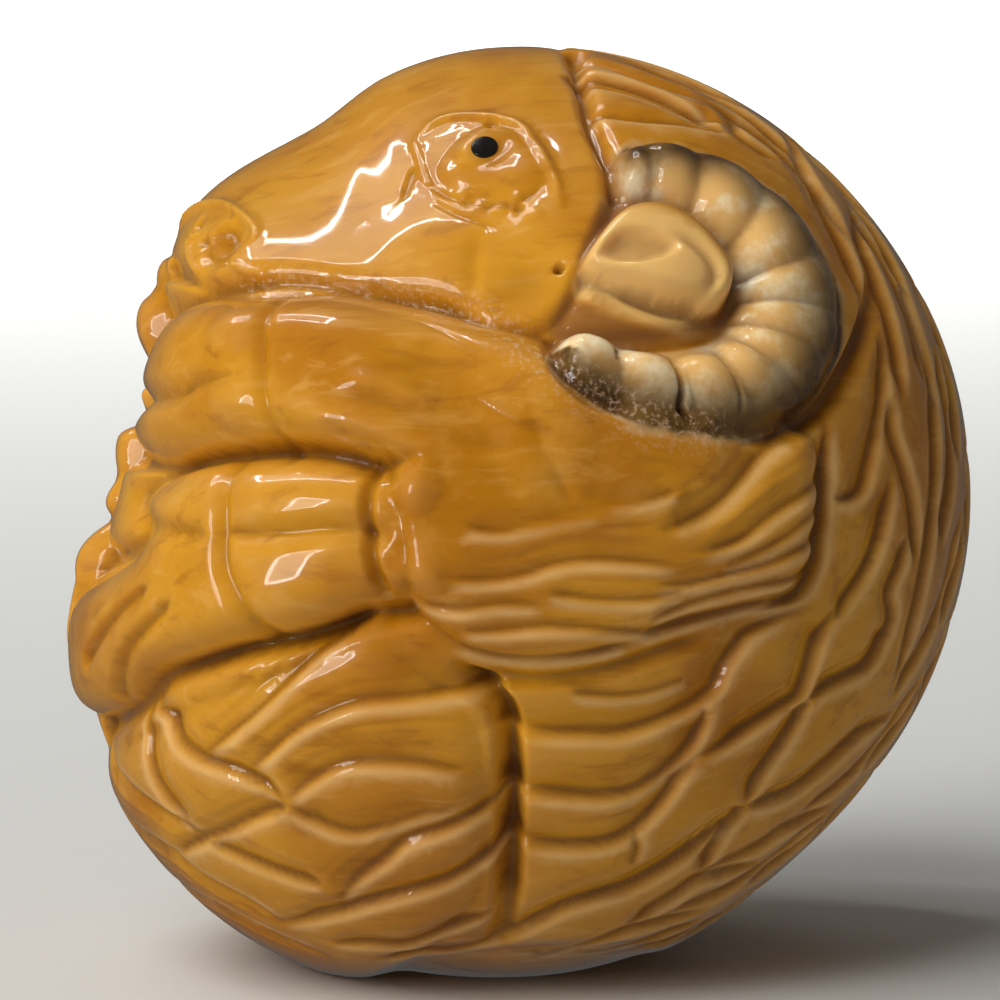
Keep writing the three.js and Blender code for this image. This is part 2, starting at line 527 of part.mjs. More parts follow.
// Creases where two forms meet, then the face: jaw, cheek, eye and nostril, then the ear's
// hollow, the foot of the horn, the parting of the legs with the far hooves' tips, and the
// curls at the shoulder's rounded end.
const features = [
  groove([[-3.4, -6.6], [-1.7, -7.6], [-0.6, -8.8], [-0.3, -11], [-0.3, -14], [-0.4, -17],
    [-0.9, -19.6]], 2.2, 1.2, { hard: 0.5, level: 1 }),
  groove([[-2.6, -7.3], [0.5, -7.5], [3.6, -7.1], [6.4, -6.2], [9, -5.3]], 1.2, 0.5, { level: 1.2 }),
  groove([[-16.4, -7.5], [-13.2, -6.4], [-10.6, -5.9], [-8, -5], [-6.5, -3.9]], 1.1, 0.5),
  groove([[-6.4, 3], [-6.8, 1.2], [-6.8, -0.6], [-6.5, -2.4], [-5.9, -4]], 0.9, 0.5, { level: 1.6 }),
  groove([[-16.4, 1.8], [-13.6, 2.7], [-10, 3], [-7.6, 2.6], [-6.2, 1.6]], 1, 0.5),
  groove([[-15, 11], [-13.4, 10.4], [-10, 10.7], [-6, 10], [-3, 9.4], [-1.6, 8.4], [1, 8.5]], 1, 0.55,
    { level: 0.8 }),
  groove([[-1.7, 13], [-1.9, 11.8], [-2, 10.4], [-1.4, 9]], 1.5, 0.35, { hard: 0.5 }),
  swell([0.4, 10.3], 2.4, -0.35),
  swell([-4.6, 12.1], 3.8, 0.35),
  groove([[2.2, 20.8, -1], [2.8, 19], [3.3, 17.2], [4.2, 15.6], [4.3, 14.2]], 0.9, 0.4),
  swell([-1.2, 15.7], 3.6, -0.25),
  form([[-3.8, 15.3], [-2.8, 16.9], [-1.2, 17.5], [0.5, 16.9], [1.5, 15.6], [0.7, 14.5], [-1, 14.1],
    [-2.8, 14.4]], 0.6, 1.2, 1.2),
  swell([-13.6, 12.2], 1.6, -0.7),
  swell([-13.7, 12.3], 0.7, 0.9),
  form(EAR_HOLLOW, -1.3, 0.8, 2.2),
  swell([7.4, 11.3], 1.3, 0.6, 2.2),
  groove([[7.8, 3.8], [10.4, 3.6], [12.8, 4.3], [14.4, 6], [15.6, 8.6], [15.9, 11]], 1.6, 0.9),
  groove([[1.3, 8.4], [1.5, 6.4], [3, 4.9], [5.2, 4.3]], 1, 0.5),
  groove([[-15.2, 10.2, PARTING], [-16.8, 8, PARTING], [-18, 4, PARTING], [-18.8, 0, PARTING],
    [-19.6, -5, PARTING], [-19, -10, PARTING]], 1.8, 0.9),
  swell([-16.4, 9.4, -0.2], 2.4, 1.2),
  swell([-17.6, 3.2, -0.2], 1.9, 0.7),
  swell([-18.1, -0.4, -0.4], 2.6, 0.8),
  swell([-4.5, 1.2], 1.3, 0.35),
  swell([-4.4, -2.6], 1.4, 0.3),
];

// Cuts on the legs, which the far legs repeat: above the fore hoof, the toe cleft, the folds,
// then across and along the hind leg, and two in its hoof.
const PILLOW = { crest: 1.0, body: 1.1, level: 2.2 };
const legCuts = [
  cut([[-11.4, 10], [-11.6, 7.5], [-11.5, 5.5], [-11.2, 2.9]], 0.5, 'right', { ...PILLOW, start: 0,
    end: 0 }),
  cut([[-18.2, 5.1], [-16.2, 5.4], [-14.6, 5.9], [-13, 6.3]], 0.7, 'right', { ...PILLOW, start: 0 }),
  cut([[-8.6, 5.4], [-6, 4.9], [-4, 3.9], [-2.4, 3.3], [0, 3]], 0.5, 'right', { ...PILLOW }),
  cut([[-13.7, 2.2], [-13.6, 0], [-13.6, -2.2], [-12.9, -4], [-12.1, -5.9]], 0.5, 'right', { ...PILLOW,
    start: 0, end: 0 }),
  cut([[-13.6, -0.8], [-11, -0.8], [-8.6, -0.6], [-6.6, -0.9]], 0.5, 'right', { ...PILLOW, start: 0,
    end: 0 }),
  cut([[-17.3, -0.4], [-15.8, -0.7], [-14.2, -0.9]], 0.4, 'right', { start: 0, crest: 0.8, body: 0.9,
    level: 2 }),
  cut([[-16.8, -3.1], [-17.9, -4], [-18.8, -5], [-19.6, -6.4]], 0.5, 'right', { crest: 0.5, body: 0.8,
    level: 2, end: 0 }),
  cut([[-15.8, -3.8], [-16.9, -4.9], [-18, -6.2], [-18.8, -8.4]], 0.5, 'right', { crest: 0.5, body: 0.8,
    level: 2, end: 0 }),
];
const legRidges = [
  groove([[-8.2, 6.2], [-6, 5.8], [-4.8, 5.3], [-3.7, 4.8]], 0.8, -0.2, { level: 2.2 }),
  groove([[-10.7, 4.3], [-8, 4.2], [-6.5, 3.7], [-5, 3], [-3.5, 2.8]], 0.8, -0.2, { level: 2.2 }),
  swell([-13, 8.2], 1.5, 0.25, 2.2),
  swell([-13.1, 5], 1.3, 0.2, 2.2),
];

// ---------------------------------------------------------------- the carved surface

const highest = (tools, p) => tools.reduce((top, tool) => Math.max(top, tool(p)), 0);
const total = (tools, p) => tools.reduce((sum, tool) => sum + tool(p), 0);

// The wool's skin covers all but the bare head, coil and legs, and rolls down to their edges.
const bareOutlines = [HEAD, COIL, FORELEG, HIND_LEG].map((places) => closedCurve(places));
const SKIN_ROLL = 1.2;
const CUT_FADE = 0.8;

function woolSkin(p) {
  const [x, z] = appears(p, WOOL);
  const covered = Math.max(...bareOutlines.map((outline) => insideBy(outline, x, z)));
  return {
    skin: WOOL * (1 - (1 - clamp(-covered / SKIN_ROLL)) ** 2),
    share: 1 - smooth(covered / CUT_FADE + 0.5),
  };
}

const leanBack = new THREE.Matrix4().makeRotationX(-LEAN * RADIANS);
const down = new THREE.Vector3(0, 0, -1).applyMatrix4(leanBack.clone().invert());

// How far the carved surface is from the ball's centre along a direction. The far side is cut
// like the show side, but its legs are tucked a little further out and higher.
function carvedRadius(x, y, z) {
  const blank = blankRadius(x, y, z);
  const shown = [x * blank, -Math.abs(y) * blank, z * blank];
  const farLegs = y * blank >= PARTING;
  const leg = farLegs ? onBlank([shown[0] - FAR_LEGS[0], shown[2] - FAR_LEGS[1], shown[1]]) : shown;
  const { skin, share } = woolSkin(leg);
  const onHorn = overHorn(shown);
  const offHorn = 1 - smooth(onHorn / 0.6);
  const height = Math.max(highest(forms, shown), onHorn, highest(legs, leg), skin, GROUND)
    - highest(woolCuts, shown) * share * offHorn - highest(shoulderCuts, shown) * offHorn
    + total(features, shown) + total(legRidges, leg) - highest(legCuts, leg);
  const fromFoot = Math.hypot(x - down.x, y - down.y, z - down.z) * blank;
  return blank - WASTE + mix(BASE_LEVEL, height, smooth((fromFoot - BASE_CLEAR) / BASE_BLEND));
}

// ---------------------------------------------------------------- mesh over the surface

const STEEPEST = 0.12;            // least share of a face's normal that points outwards
const LENGTH_COST = 2e-5;         // what keeps edges from growing too long where all is smooth

const minus = (p, q) => [p[0] - q[0], p[1] - q[1], p[2] - q[2]];
const dot = (p, q) => p[0] * q[0] + p[1] * q[1] + p[2] * q[2];
const cross = (p, q) => [p[1] * q[2] - p[2] * q[1], p[2] * q[0] - p[0] * q[2], p[0] * q[1] - p[1] * q[0]];
const size = (p) => Math.hypot(p[0], p[1], p[2]);

// Whether a face still looks away from the ball's centre and isn't a sliver.
function goodFace(p, q, r) {
  const normal = cross(minus(q, p), minus(r, p));
  const area = size(normal);
  const longest = Math.max(size(minus(q, p)), size(minus(r, q)), size(minus(p, r)));
  return dot(normal, p) > STEEPEST * area * size(p) && area > SLIVER * longest * longest;
}

// The sum of squared distances from a point to the planes gathered in q.
const planeError = (q, [x, y, z]) => q[0] * x * x + 2 * q[1] * x * y + 2 * q[2] * x * z + 2 * q[3] * x
  + q[4] * y * y + 2 * q[5] * y * z + 2 * q[6] * y + q[7] * z * z + 2 * q[8] * z + q[9];

// The point nearest to all those planes, or nothing where they don't settle one.
function meetingPoint(q) {
  const rows = [[q[0], q[1], q[2]], [q[1], q[4], q[5]], [q[2], q[5], q[7]]];
  const [one, two, three] = rows;
  const whole = dot(one, cross(two, three));
  const scale = (q[0] + q[4] + q[7]) / 3;
  if (Math.abs(whole) < 1e-4 * scale ** 3) return null;
  const known = [-q[3], -q[6], -q[8]];
  const columns = [cross(two, three), cross(three, one), cross(one, two)];
  return [0, 1, 2].map((c) => (columns[0][c] * known[0] + columns[1][c] * known[1]
    + columns[2][c] * known[2]) / whole);
}

// A heap that gives back its cheapest entry first.
function cheapestFirst() {
  const heap = [];
  const swap = (i, j) => { [heap[i], heap[j]] = [heap[j], heap[i]]; };
  return {
    add(entry) {
      let i = heap.push(entry) - 1;
      while (i > 0 && heap[(i - 1) >> 1].cost > heap[i].cost) {
        swap(i, (i - 1) >> 1);
        i = (i - 1) >> 1;
      }
    },
    take() {
      swap(0, heap.length - 1);
      const entry = heap.pop();
      for (let i = 0; ;) {
        let least = i;
        for (const child of [2 * i + 1, 2 * i + 2]) {
          if (child < heap.length && heap[child].cost < heap[least].cost) least = child;
        }
        if (least === i) return entry;
        swap(i, least);
        i = least;
      }
    },
    get empty() { return heap.length === 0; },
  };
}

// The ball is meshed finely, and edges are then closed one by one, the least missed first,
// so that those left lie along the carving's ridges and cuts.
function carvedGeometry() {
  const start = new THREE.IcosahedronGeometry(1, START_DETAIL);
  start.deleteAttribute('normal');
  start.deleteAttribute('uv');
  const merged = mergeVertices(start, 1e-5);
  const source = merged.getAttribute('position');
  const points = [];
  for (let i = 0; i < source.count; i++) {
    const d = new THREE.Vector3().fromBufferAttribute(source, i).normalize();
    points.push(d.clone().multiplyScalar(carvedRadius(d.x, d.y, d.z)).toArray());
  }
  const index = merged.getIndex().array;
  const faces = [];
  for (let i = 0; i < index.length; i += 3) faces.push([index[i], index[i + 1], index[i + 2]]);

  const planes = points.map(() => new Float64Array(10));
  const around = points.map(() => new Set());
  const changes = points.map(() => 0);
  faces.forEach((face, f) => {
    const [p, q, r] = face.map((v) => points[v]);
    const normal = cross(minus(q, p), minus(r, p));
    const area = size(normal);
    const [a, b, c] = normal.map((value) => value / area);
    const d = -dot([a, b, c], p);
    const terms = [a * a, a * b, a * c, a * d, b * b, b * c, b * d, c * c, c * d, d * d];
    for (const v of face) {
      terms.forEach((term, k) => { planes[v][k] += area * term; });
      around[v].add(f);
    }
  });

  const queue = cheapestFirst();
  const offer = (a, b) => {
    const both = planes[a].map((value, k) => value + planes[b][k]);
    const middle = [0, 1, 2].map((c) => (points[a][c] + points[b][c]) / 2);
    const choices = [points[a], points[b], middle];
    const met = meetingPoint(both);
    const length = size(minus(points[a], points[b]));
    if (met && size(minus(met, middle)) < length) choices.push(met);
    let point = choices[0];
    for (const choice of choices) {
      if (planeError(both, choice) < planeError(both, point)) point = choice;
    }
    const cost = planeError(both, point) + LENGTH_COST * length ** 4;
    queue.add({ cost, a, b, point, seenA: changes[a], seenB: changes[b] });
  };
  const neighbours = (v) => new Set([...around[v]].flatMap((f) => faces[f]).filter((other) => other !== v));
  points.forEach((_, a) => neighbours(a).forEach((b) => { if (a < b) offer(a, b); }));

  let left = faces.length;
  while (left > TRIANGLES && !queue.empty) {
    const { a, b, point, seenA, seenB } = queue.take();
    if (changes[a] !== seenA || changes[b] !== seenB) continue;
    const nearA = neighbours(a);
    const shared = [...neighbours(b)].filter((v) => nearA.has(v));
    if (shared.length !== 2) continue;
    const moved = (v) => (v === a || v === b ? point : points[v]);
    const gone = [...around[a]].filter((f) => around[b].has(f));
    const kept = [...around[a], ...around[b]].filter((f) => !gone.includes(f));
    if (!kept.every((f) => goodFace(...faces[f].map(moved)))) continue;
    for (const f of gone) {
      faces[f].forEach((v) => around[v].delete(f));
      faces[f] = null;
    }
    for (const f of around[b]) {
      faces[f] = faces[f].map((v) => (v === b ? a : v));
      around[a].add(f);
    }
    around[b].clear();
    points[a] = point;
    planes[b].forEach((value, k) => { planes[a][k] += value; });
    changes[a] += 1;
    changes[b] = -1;
    neighbours(a).forEach((v) => offer(a, v));
    left -= 2;
  }

  const geometry = new THREE.BufferGeometry();
  geometry.setAttribute('position', new THREE.Float32BufferAttribute(points.flat(), 3));
  geometry.setIndex(faces.filter((face) => face).flat());
  return geometry;
}

// ---------------------------------------------------------------- solids and cuts through them

function toSolid(geometry) {
  const bare = geometry.clone();
  bare.deleteAttribute('normal');
  bare.deleteAttribute('uv');
  const merged = mergeVertices(bare, 1e-5);
  return new wasm.Manifold(new wasm.Mesh({
    numProp: 3,
    vertProperties: new Float32Array(merged.getAttribute('position').array),
    triVerts: new Uint32Array(merged.getIndex().array),
  }));
}

function toGeometry(solid) {
  const mesh = solid.getMesh();
  const geometry = new THREE.BufferGeometry();
  geometry.setAttribute('position', new THREE.BufferAttribute(mesh.vertProperties, mesh.numProp));
  geometry.setIndex(new THREE.BufferAttribute(mesh.triVerts, 1));
  return geometry;
}

// Where the carved surface is at a place on the side, and the way out of it.
function surfaceAt(place, side) {
  const [x, y, z] = onBlank(place);
  const out = new THREE.Vector3(x, side * Math.abs(y), z).normalize();
  return { point: out.clone().multiplyScalar(carvedRadius(out.x, out.y, out.z)), out };
}

function peg(diameter, length, proud, side) {
  const { point, out } = surfaceAt(EYE, side);
  const across = new THREE.Vector3(out.x * PUPIL_TURN, out.y, out.z * PUPIL_TURN).normalize();
  const geometry = new THREE.CylinderGeometry(diameter / 2, diameter / 2, length, 20);
  geometry.applyQuaternion(new THREE.Quaternion().setFromUnitVectors(new THREE.Vector3(0, 1, 0), across));
  const middle = point.clone().addScaledVector(across, proud - length / 2);
  return geometry.translate(middle.x, middle.y, middle.z);
}

// Two holes on the far side, joined by a bow under the surface for the cord.
function cordTunnel() {
  const mouths = [-1, 1].map((end) => {
    const place = [CORD_PLACE[0] + end * CORD_SPACING / 2, CORD_PLACE[1] - end * CORD_SLANT];
    return surfaceAt(place, 1);
  });
  const middle = mouths[0].point.clone().add(mouths[1].point).multiplyScalar(0.5);
  const inward = middle.clone().normalize().multiplyScalar(-CORD_DEPTH);
  const route = new THREE.CatmullRomCurve3([
    mouths[0].point.clone().addScaledVector(mouths[0].out, 2),
    mouths[0].point.clone().addScaledVector(mouths[0].out, -1.5),
    middle.clone().add(inward),
    mouths[1].point.clone().addScaledVector(mouths[1].out, -1.5),
    mouths[1].point.clone().addScaledVector(mouths[1].out, 2),
  ]);
  const round = new THREE.Shape().absarc(0, 0, CORD_HOLE / 2, 0, 2 * Math.PI);
  const tube = new THREE.ExtrudeGeometry(round, { steps: 20, curveSegments: 7, extrudePath: route });
  const mouth = new THREE.CylinderGeometry(CORD_MOUTH / 2, CORD_HOLE / 2, MOUTH_LENGTH, 16);
  mouth.applyQuaternion(new THREE.Quaternion().setFromUnitVectors(new THREE.Vector3(0, 1, 0), mouths[1].out));
  const seat = mouths[1].point.clone().addScaledVector(mouths[1].out, -0.4);
  mouth.translate(seat.x, seat.y, seat.z);
  return toSolid(tube).add(toSolid(mouth));
}

// ---------------------------------------------------------------- the object

let carving = toSolid(carvedGeometry());
for (const side of [-1, 1]) {
  const socket = peg(PUPIL_DIAMETER + 2 * PUPIL_GAP, PUPIL_LENGTH + 1 + PUPIL_GAP, 1, side);
  carving = carving.subtract(toSolid(socket));
}
carving = carving.subtract(cordTunnel());

// The ram leans back, and its underside is taken down to a small flat.
const leaned = toGeometry(carving).applyMatrix4(leanBack);
leaned.computeBoundingBox();
const floorLevel = leaned.boundingBox.min.z + BASE_DEPTH;
const below = new THREE.BoxGeometry(60, 60, 20).translate(0, 0, floorLevel - 10);
const standing = toGeometry(toSolid(leaned).subtract(toSolid(below)));
standing.computeBoundingBox();
const middle = standing.boundingBox.getCenter(new THREE.Vector3());
const place = new THREE.Vector3(-middle.x, -middle.y, -floorLevel);

function part(name, geometry, material) {
  const mesh = new THREE.Mesh(geometry.translate(place.x, place.y, place.z), material);
  mesh.name = name;
  return mesh;
}

const honeyNut = new THREE.MeshStandardMaterial({ color: 0xc08430, roughness: 0.3, metalness: 0 });
const blackInlay = new THREE.MeshStandardMaterial({ color: 0x0c0a09, roughness: 0.2, metalness: 0 });

const netsuke = new THREE.Group();
netsuke.add(part('ram', standing, honeyNut));
[['pupil_left', -1], ['pupil_right', 1]].forEach(([name, side]) => {
  const pupil = peg(PUPIL_DIAMETER, PUPIL_LENGTH, PUPIL_PROUD, side).applyMatrix4(leanBack);
  netsuke.add(part(name, pupil, blackInlay));
});

export default netsuke;
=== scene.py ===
# %% [markdown]
# # A carved ram netsuke
# A netsuke is a toggle, about as big as a walnut, that held a pouch on a sash. This one is a ram
# curled into a ball: the head rests on folded legs, and locks of wool cover the rest. It is a
# polished nut, dark honey in colour, with two black inlaid pupils.
# The lesson shapes a dense ball the way a carver works: a rounded blank, big forms raised, locks
# parted by V-cuts, a polish, and last the fine lines of the eye, nostril and horn.
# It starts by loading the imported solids, which say where everything is, in metres.

# %% Load the frame
from math import cos, pi, radians, sin

import bpy
import numpy as np
from mathutils import Matrix, Vector


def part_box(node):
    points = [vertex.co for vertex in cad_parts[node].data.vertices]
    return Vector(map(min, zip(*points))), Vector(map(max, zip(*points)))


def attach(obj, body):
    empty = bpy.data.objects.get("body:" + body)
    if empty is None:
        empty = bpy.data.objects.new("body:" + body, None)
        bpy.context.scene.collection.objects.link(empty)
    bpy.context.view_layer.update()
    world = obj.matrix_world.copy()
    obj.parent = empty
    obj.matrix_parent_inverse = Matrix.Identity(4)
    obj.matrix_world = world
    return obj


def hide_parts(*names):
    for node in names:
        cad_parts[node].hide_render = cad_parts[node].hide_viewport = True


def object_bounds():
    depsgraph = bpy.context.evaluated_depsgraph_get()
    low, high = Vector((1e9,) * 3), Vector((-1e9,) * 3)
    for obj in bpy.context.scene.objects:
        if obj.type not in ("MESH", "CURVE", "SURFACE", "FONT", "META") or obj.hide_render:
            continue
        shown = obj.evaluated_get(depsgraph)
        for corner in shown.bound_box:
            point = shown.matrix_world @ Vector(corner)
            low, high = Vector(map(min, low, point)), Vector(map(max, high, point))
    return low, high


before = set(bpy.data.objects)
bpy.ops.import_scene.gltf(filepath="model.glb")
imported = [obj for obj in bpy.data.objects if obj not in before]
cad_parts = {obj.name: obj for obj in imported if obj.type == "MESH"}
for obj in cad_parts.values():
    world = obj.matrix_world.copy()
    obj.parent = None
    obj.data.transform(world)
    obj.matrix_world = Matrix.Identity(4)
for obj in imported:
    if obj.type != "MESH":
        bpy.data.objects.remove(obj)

cad_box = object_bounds()
MM = 0.001
print("solids:", sorted(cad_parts))

# %% [markdown]
# ## The blank
# Sculpting by hand is hard to repeat, so each cut here is a small function. It says how far the
# surface stands out along a direction from the ball's middle. Sizes are in millimetres, the nose
# points to -X and the show side faces -Y.
# The blank's outline is nearly round. Its section is squarer at the body and pinched at the head.

# %% Shape of the blank
HALF_DEPTH = 17.9
WASTE = 1.3
BODY_SQUARENESS, HEAD_SQUARENESS = 2.15, 1.52
HEAD_DIRECTION, HEAD_SPREAD = 112, 62
RIM = np.array([(0, 20.4), (20, 20.7), (42, 20.9), (60, 21.2), (80, 21.4), (96, 21.4), (107, 21.0),
                (118, 20.1), (137, 20.5), (150, 19.1), (165, 17.9), (182, 18.7), (197, 20.6), (212, 21.5),
                (235, 22.0), (258, 21.5), (285, 20.9), (310, 19.9), (335, 20.0)], dtype=float)


def smooth(v):
    t = np.clip(v, 0.0, 1.0)
    return t * t * (3.0 - 2.0 * t)


def mix(a, b, t):
    return a + (b - a) * t


def rim_radius(degrees):
    """A smooth closed curve through the rim's (degrees, radius) pairs."""
    at = np.concatenate([RIM[-2:, 0] - 360, RIM[:, 0], RIM[:3, 0] + 360])
    value = np.concatenate([RIM[-2:, 1], RIM[:, 1], RIM[:3, 1]])
    angle = np.mod(degrees, 360.0)
    i = np.clip(np.searchsorted(at, angle, side="right") - 1, 1, len(at) - 3)
    span = at[i + 1] - at[i]
    t = (angle - at[i]) / span
    rise1 = (value[i + 1] - value[i - 1]) / (at[i + 1] - at[i - 1]) * span
    rise2 = (value[i + 2] - value[i]) / (at[i + 2] - at[i]) * span
    t2, t3 = t * t, t * t * t
    return ((2 * t3 - 3 * t2 + 1) * value[i] + (t3 - 2 * t2 + t) * rise1
            + (3 * t2 - 2 * t3) * value[i + 1] + (t3 - t2) * rise2)


def section(x, z):
    angle = np.degrees(np.arctan2(z, x))
    off = np.abs(np.mod(angle - HEAD_DIRECTION + 540, 360) - 180) / HEAD_SPREAD
    return rim_radius(angle), mix(HEAD_SQUARENESS, BODY_SQUARENESS, smooth(off))


def blank_radius(d):
    rim, power = section(d[..., 0], d[..., 2])
    side = np.hypot(d[..., 0], d[..., 2]) / rim
    return (side ** power + (np.abs(d[..., 1]) / HALF_DEPTH) ** power) ** (-1 / power)


print("blank radius towards the nose:", round(float(blank_radius(np.array([[-1.0, 0.0, 0.0]]))[0]), 2), "mm")

# %% [markdown]
# ## Places on the ball
# A carver draws on the side of the blank. Places are [x, z] as they appear to someone who holds
# the ball at arm's length, so a point near the rim is given where it is seen. A third number, where
# there is one, is y. A path is a smooth curve drawn through a few places.

# %% Places and paths
VIEW_DISTANCE = 300.0
MIDDLE_LEVEL = 1.0


def seen_scale(depth, radius, level):
    cut_to = 1 + (level - WASTE) / radius
    return cut_to / (1 - np.abs(depth) * cut_to / VIEW_DISTANCE)


def on_blank(places, level=MIDDLE_LEVEL):
    out = []
    for place in places:
        x, z = place[0], place[1]
        y = place[2] if len(place) > 2 else 0.0
        for _ in range(4 if len(place) == 2 else 0):
            rim, power = section(x, z)
            y = -HALF_DEPTH * (1 - np.clip(np.hypot(x, z) / rim, 0, 0.9999) ** power) ** (1 / power)
            scale = seen_scale(y, np.sqrt(x * x + y * y + z * z), level)
            x, z = place[0] / scale, place[1] / scale
        d = np.array([x, y, z], dtype=float)
        d /= np.linalg.norm(d)
        out.append(d * blank_radius(d))
    return np.array(out)


def appears(p, level=MIDDLE_LEVEL):
    scale = seen_scale(p[:, 1], np.linalg.norm(p, axis=1), level)
    return p[:, 0] * scale, p[:, 2] * scale


def bend(knots, steps, closed=False):
    """A smooth curve through a few points."""
    n, points = len(knots), []
    for i in range(n if closed else n - 1):
        if closed:
            p0, p1, p2, p3 = (knots[(i + k) % n] for k in (-1, 0, 1, 2))
        else:
            p0, p1, p2, p3 = knots[max(i - 1, 0)], knots[i], knots[i + 1], knots[min(i + 2, n - 1)]
        last = (not closed) and i == n - 2
        for k in range(steps + (1 if last else 0)):
            t = k / steps
            points.append(0.5 * (2 * p1 + (p2 - p0) * t + (2 * p0 - 5 * p1 + 4 * p2 - p3) * t * t
                                 + (3 * p1 - p0 - 3 * p2 + p3) * t ** 3))
    return np.array(points)


def path(places, level=MIDDLE_LEVEL, steps=8):
    points = bend(on_blank(places, level), steps)
    d = points / np.linalg.norm(points, axis=1)[:, None]
    return d * blank_radius(d)[:, None]


def nearest(route, p):
    """How far each point is from a path, how far along, and on which side (1 left, -1 right)."""
    best, along, side = np.full(len(p), 1e9), np.zeros(len(p)), np.ones(len(p))
    last = len(route) - 1
    for i in range(last):
        a, d = route[i], route[i + 1] - route[i]
        q = p - a
        t = np.clip(q @ d / (d @ d), 0, 1)
        e = q - t[:, None] * d
        far = np.sqrt(np.einsum("ij,ij->i", e, e))
        new = far < best
        best[new], along[new] = far[new], (i + t[new]) / last
        turn = np.einsum("ij,ij->i", np.cross(np.broadcast_to(d, e.shape)[new], e[new]), p[new])
        side[new] = np.where(turn < 0, -1.0, 1.0)
    return best, along, side


def close_to(route, p, margin):
    centre = route.mean(axis=0)
    reach = np.linalg.norm(route - centre, axis=1).max() + margin
    e = p - centre
    return np.nonzero(np.einsum("ij,ij->i", e, e) < reach * reach)[0]


print("a spot on the shoulder:", np.round(on_blank([[4, 0]])[0], 2))

# %% [markdown]
# ## How it stands, and the camera
# The ball leans back by a few degrees when it stands on its flat. The two pupils tell where the
# carving is in the frame of the solids: they are pegs set into the head, and the space between
# them gives how far from the ball's middle they sit.
# The camera is made early, so that every look at the work is through the same lens. It looks
# straight at the side of the leaning ram from arm's length.

# %% Standing place and camera
LEAN = 8
EYE = [-1.6, 16.3]
PUPIL_LENGTH, PUPIL_PROUD = 1.7, 0.12
lean_back = np.array(Matrix.Rotation(radians(-LEAN), 3, "X"))
pupil_boxes = [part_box("pupil_left"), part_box("pupil_right")]
pupil_middles = [np.array(low + high) / (2 * MM) for low, high in pupil_boxes]
left, right = (lean_back.T @ middle for middle in pupil_middles)
eye_out = on_blank([EYE])[0]
eye_out /= np.linalg.norm(eye_out)
peg_out = eye_out * (0.45, 1.0, 0.45)
peg_out /= np.linalg.norm(peg_out)
peg_sink = PUPIL_PROUD - PUPIL_LENGTH / 2
eye_radius = ((right[1] - left[1]) / 2 + peg_out[1] * peg_sink) / -eye_out[1]
peg_middle = eye_out * eye_radius + peg_out * peg_sink
middle_of_ball = np.array([left[0] - peg_middle[0], (left[1] + right[1]) / 2, left[2] - peg_middle[2]])


def standing(points):
    """Points of the carving, in millimetres, to where they stand in the frame, in metres."""
    return (np.asarray(points) + middle_of_ball) @ lean_back.T * MM


camera_data = bpy.data.cameras.new("studio_camera")
camera_data.lens, camera_data.sensor_width = 237.6, 36.0
camera = bpy.data.objects.new("studio_camera", camera_data)
camera.location = standing([-0.91, -VIEW_DISTANCE, 0.68])
camera.rotation_euler = (radians(90 - LEAN), 0, 0)
bpy.context.scene.collection.objects.link(camera)
bpy.context.scene.camera = camera
print("the eye is", round(eye_radius, 2), "mm from the ball's middle; the ball's middle is at",
      np.round(standing([0, 0, 0]) / MM, 2))

# %% [markdown]
# ## The carver's tools
# Four tools are enough. A form raises all inside an outline and rounds its edge. A swell is a
# round bump or dent. A groove is a soft line. A V-cut parts two locks: it is steep on the side of
# the lock that lies over, and slopes long and slow on the lock that dives under it.

# %% Forms, swells, grooves and V-cuts
WOOL = 1.3


def inside_by(outline, x, z):
    """How deep a point is inside an outline. Far from the edge it is rounded, so no seams show."""
    pull, inside = np.zeros(len(x)), np.zeros(len(x), dtype=bool)
    for i in range(len(outline)):
        ax, az = outline[i - 1]
        bx, bz = outline[i]
        length = np.hypot(bx - ax, bz - az)
        ux, uz = (bx - ax) / length, (bz - az) / length
        s = (x - ax) * ux + (z - az) * uz
        off = ((x - ax) * uz - (z - az) * ux) ** 2 + 1e-6
        pull += (s / np.sqrt(off + s * s) - (s - length) / np.sqrt(off + (s - length) ** 2)) / off
        if az != bz:
            inside ^= ((az > z) != (bz > z)) & (x < (bx - ax) * (z - az) / (bz - az) + ax)
    depth = 1 / np.sqrt(0.5 * pull)
    return np.where(inside, depth, -depth)


def smooth_outline(places):
    return bend(np.array(places, dtype=float), 5, closed=True)


def form(places, rise, edge, level=None, outset=0.0):
    outline = smooth_outline(places)
    at = 0.5 * rise if level is None else level
    low, high = outline.min(axis=0) - outset, outline.max(axis=0) + outset

    def height(p):
        x, z = appears(p, at)
        k = np.nonzero((x > low[0]) & (x < high[0]) & (z > low[1]) & (z < high[1]))[0]
        out = np.zeros(len(p))
        depth = inside_by(outline, x[k], z[k]) + outset
        out[k] = np.where(depth > 0, rise * (1 - (1 - np.clip(depth / edge, 0, 1)) ** 2), 0)
        return out
    return height


def swell(place, radius, rise, level=MIDDLE_LEVEL):
    centre = on_blank([place], level)[0]

    def height(p):
        e = p - centre
        v = np.clip(np.sqrt(np.einsum("ij,ij->i", e, e)) / radius, 0, 1)
        return rise * (1 - v * v) ** 1.5
    return height


def groove_along(route, width, depth, hard=0.0):
    def height(p):
        out = np.zeros(len(p))
        k = close_to(route, p, width)
        if len(k):
            distance, along, side = nearest(route, p[k])
            v = np.clip(distance / (0.5 * width * np.where(side * hard > 0, 1 - abs(hard), 1.0)), 0, 1)
            out[k] = -depth * (1 - v * v) ** 2 * smooth(np.minimum(along, 1 - along) / 0.2)
        return out
    return height


def groove(places, width, depth, hard=0.0, level=MIDDLE_LEVEL):
    return groove_along(path(places, level), width, depth, hard)


TIP = 0.3


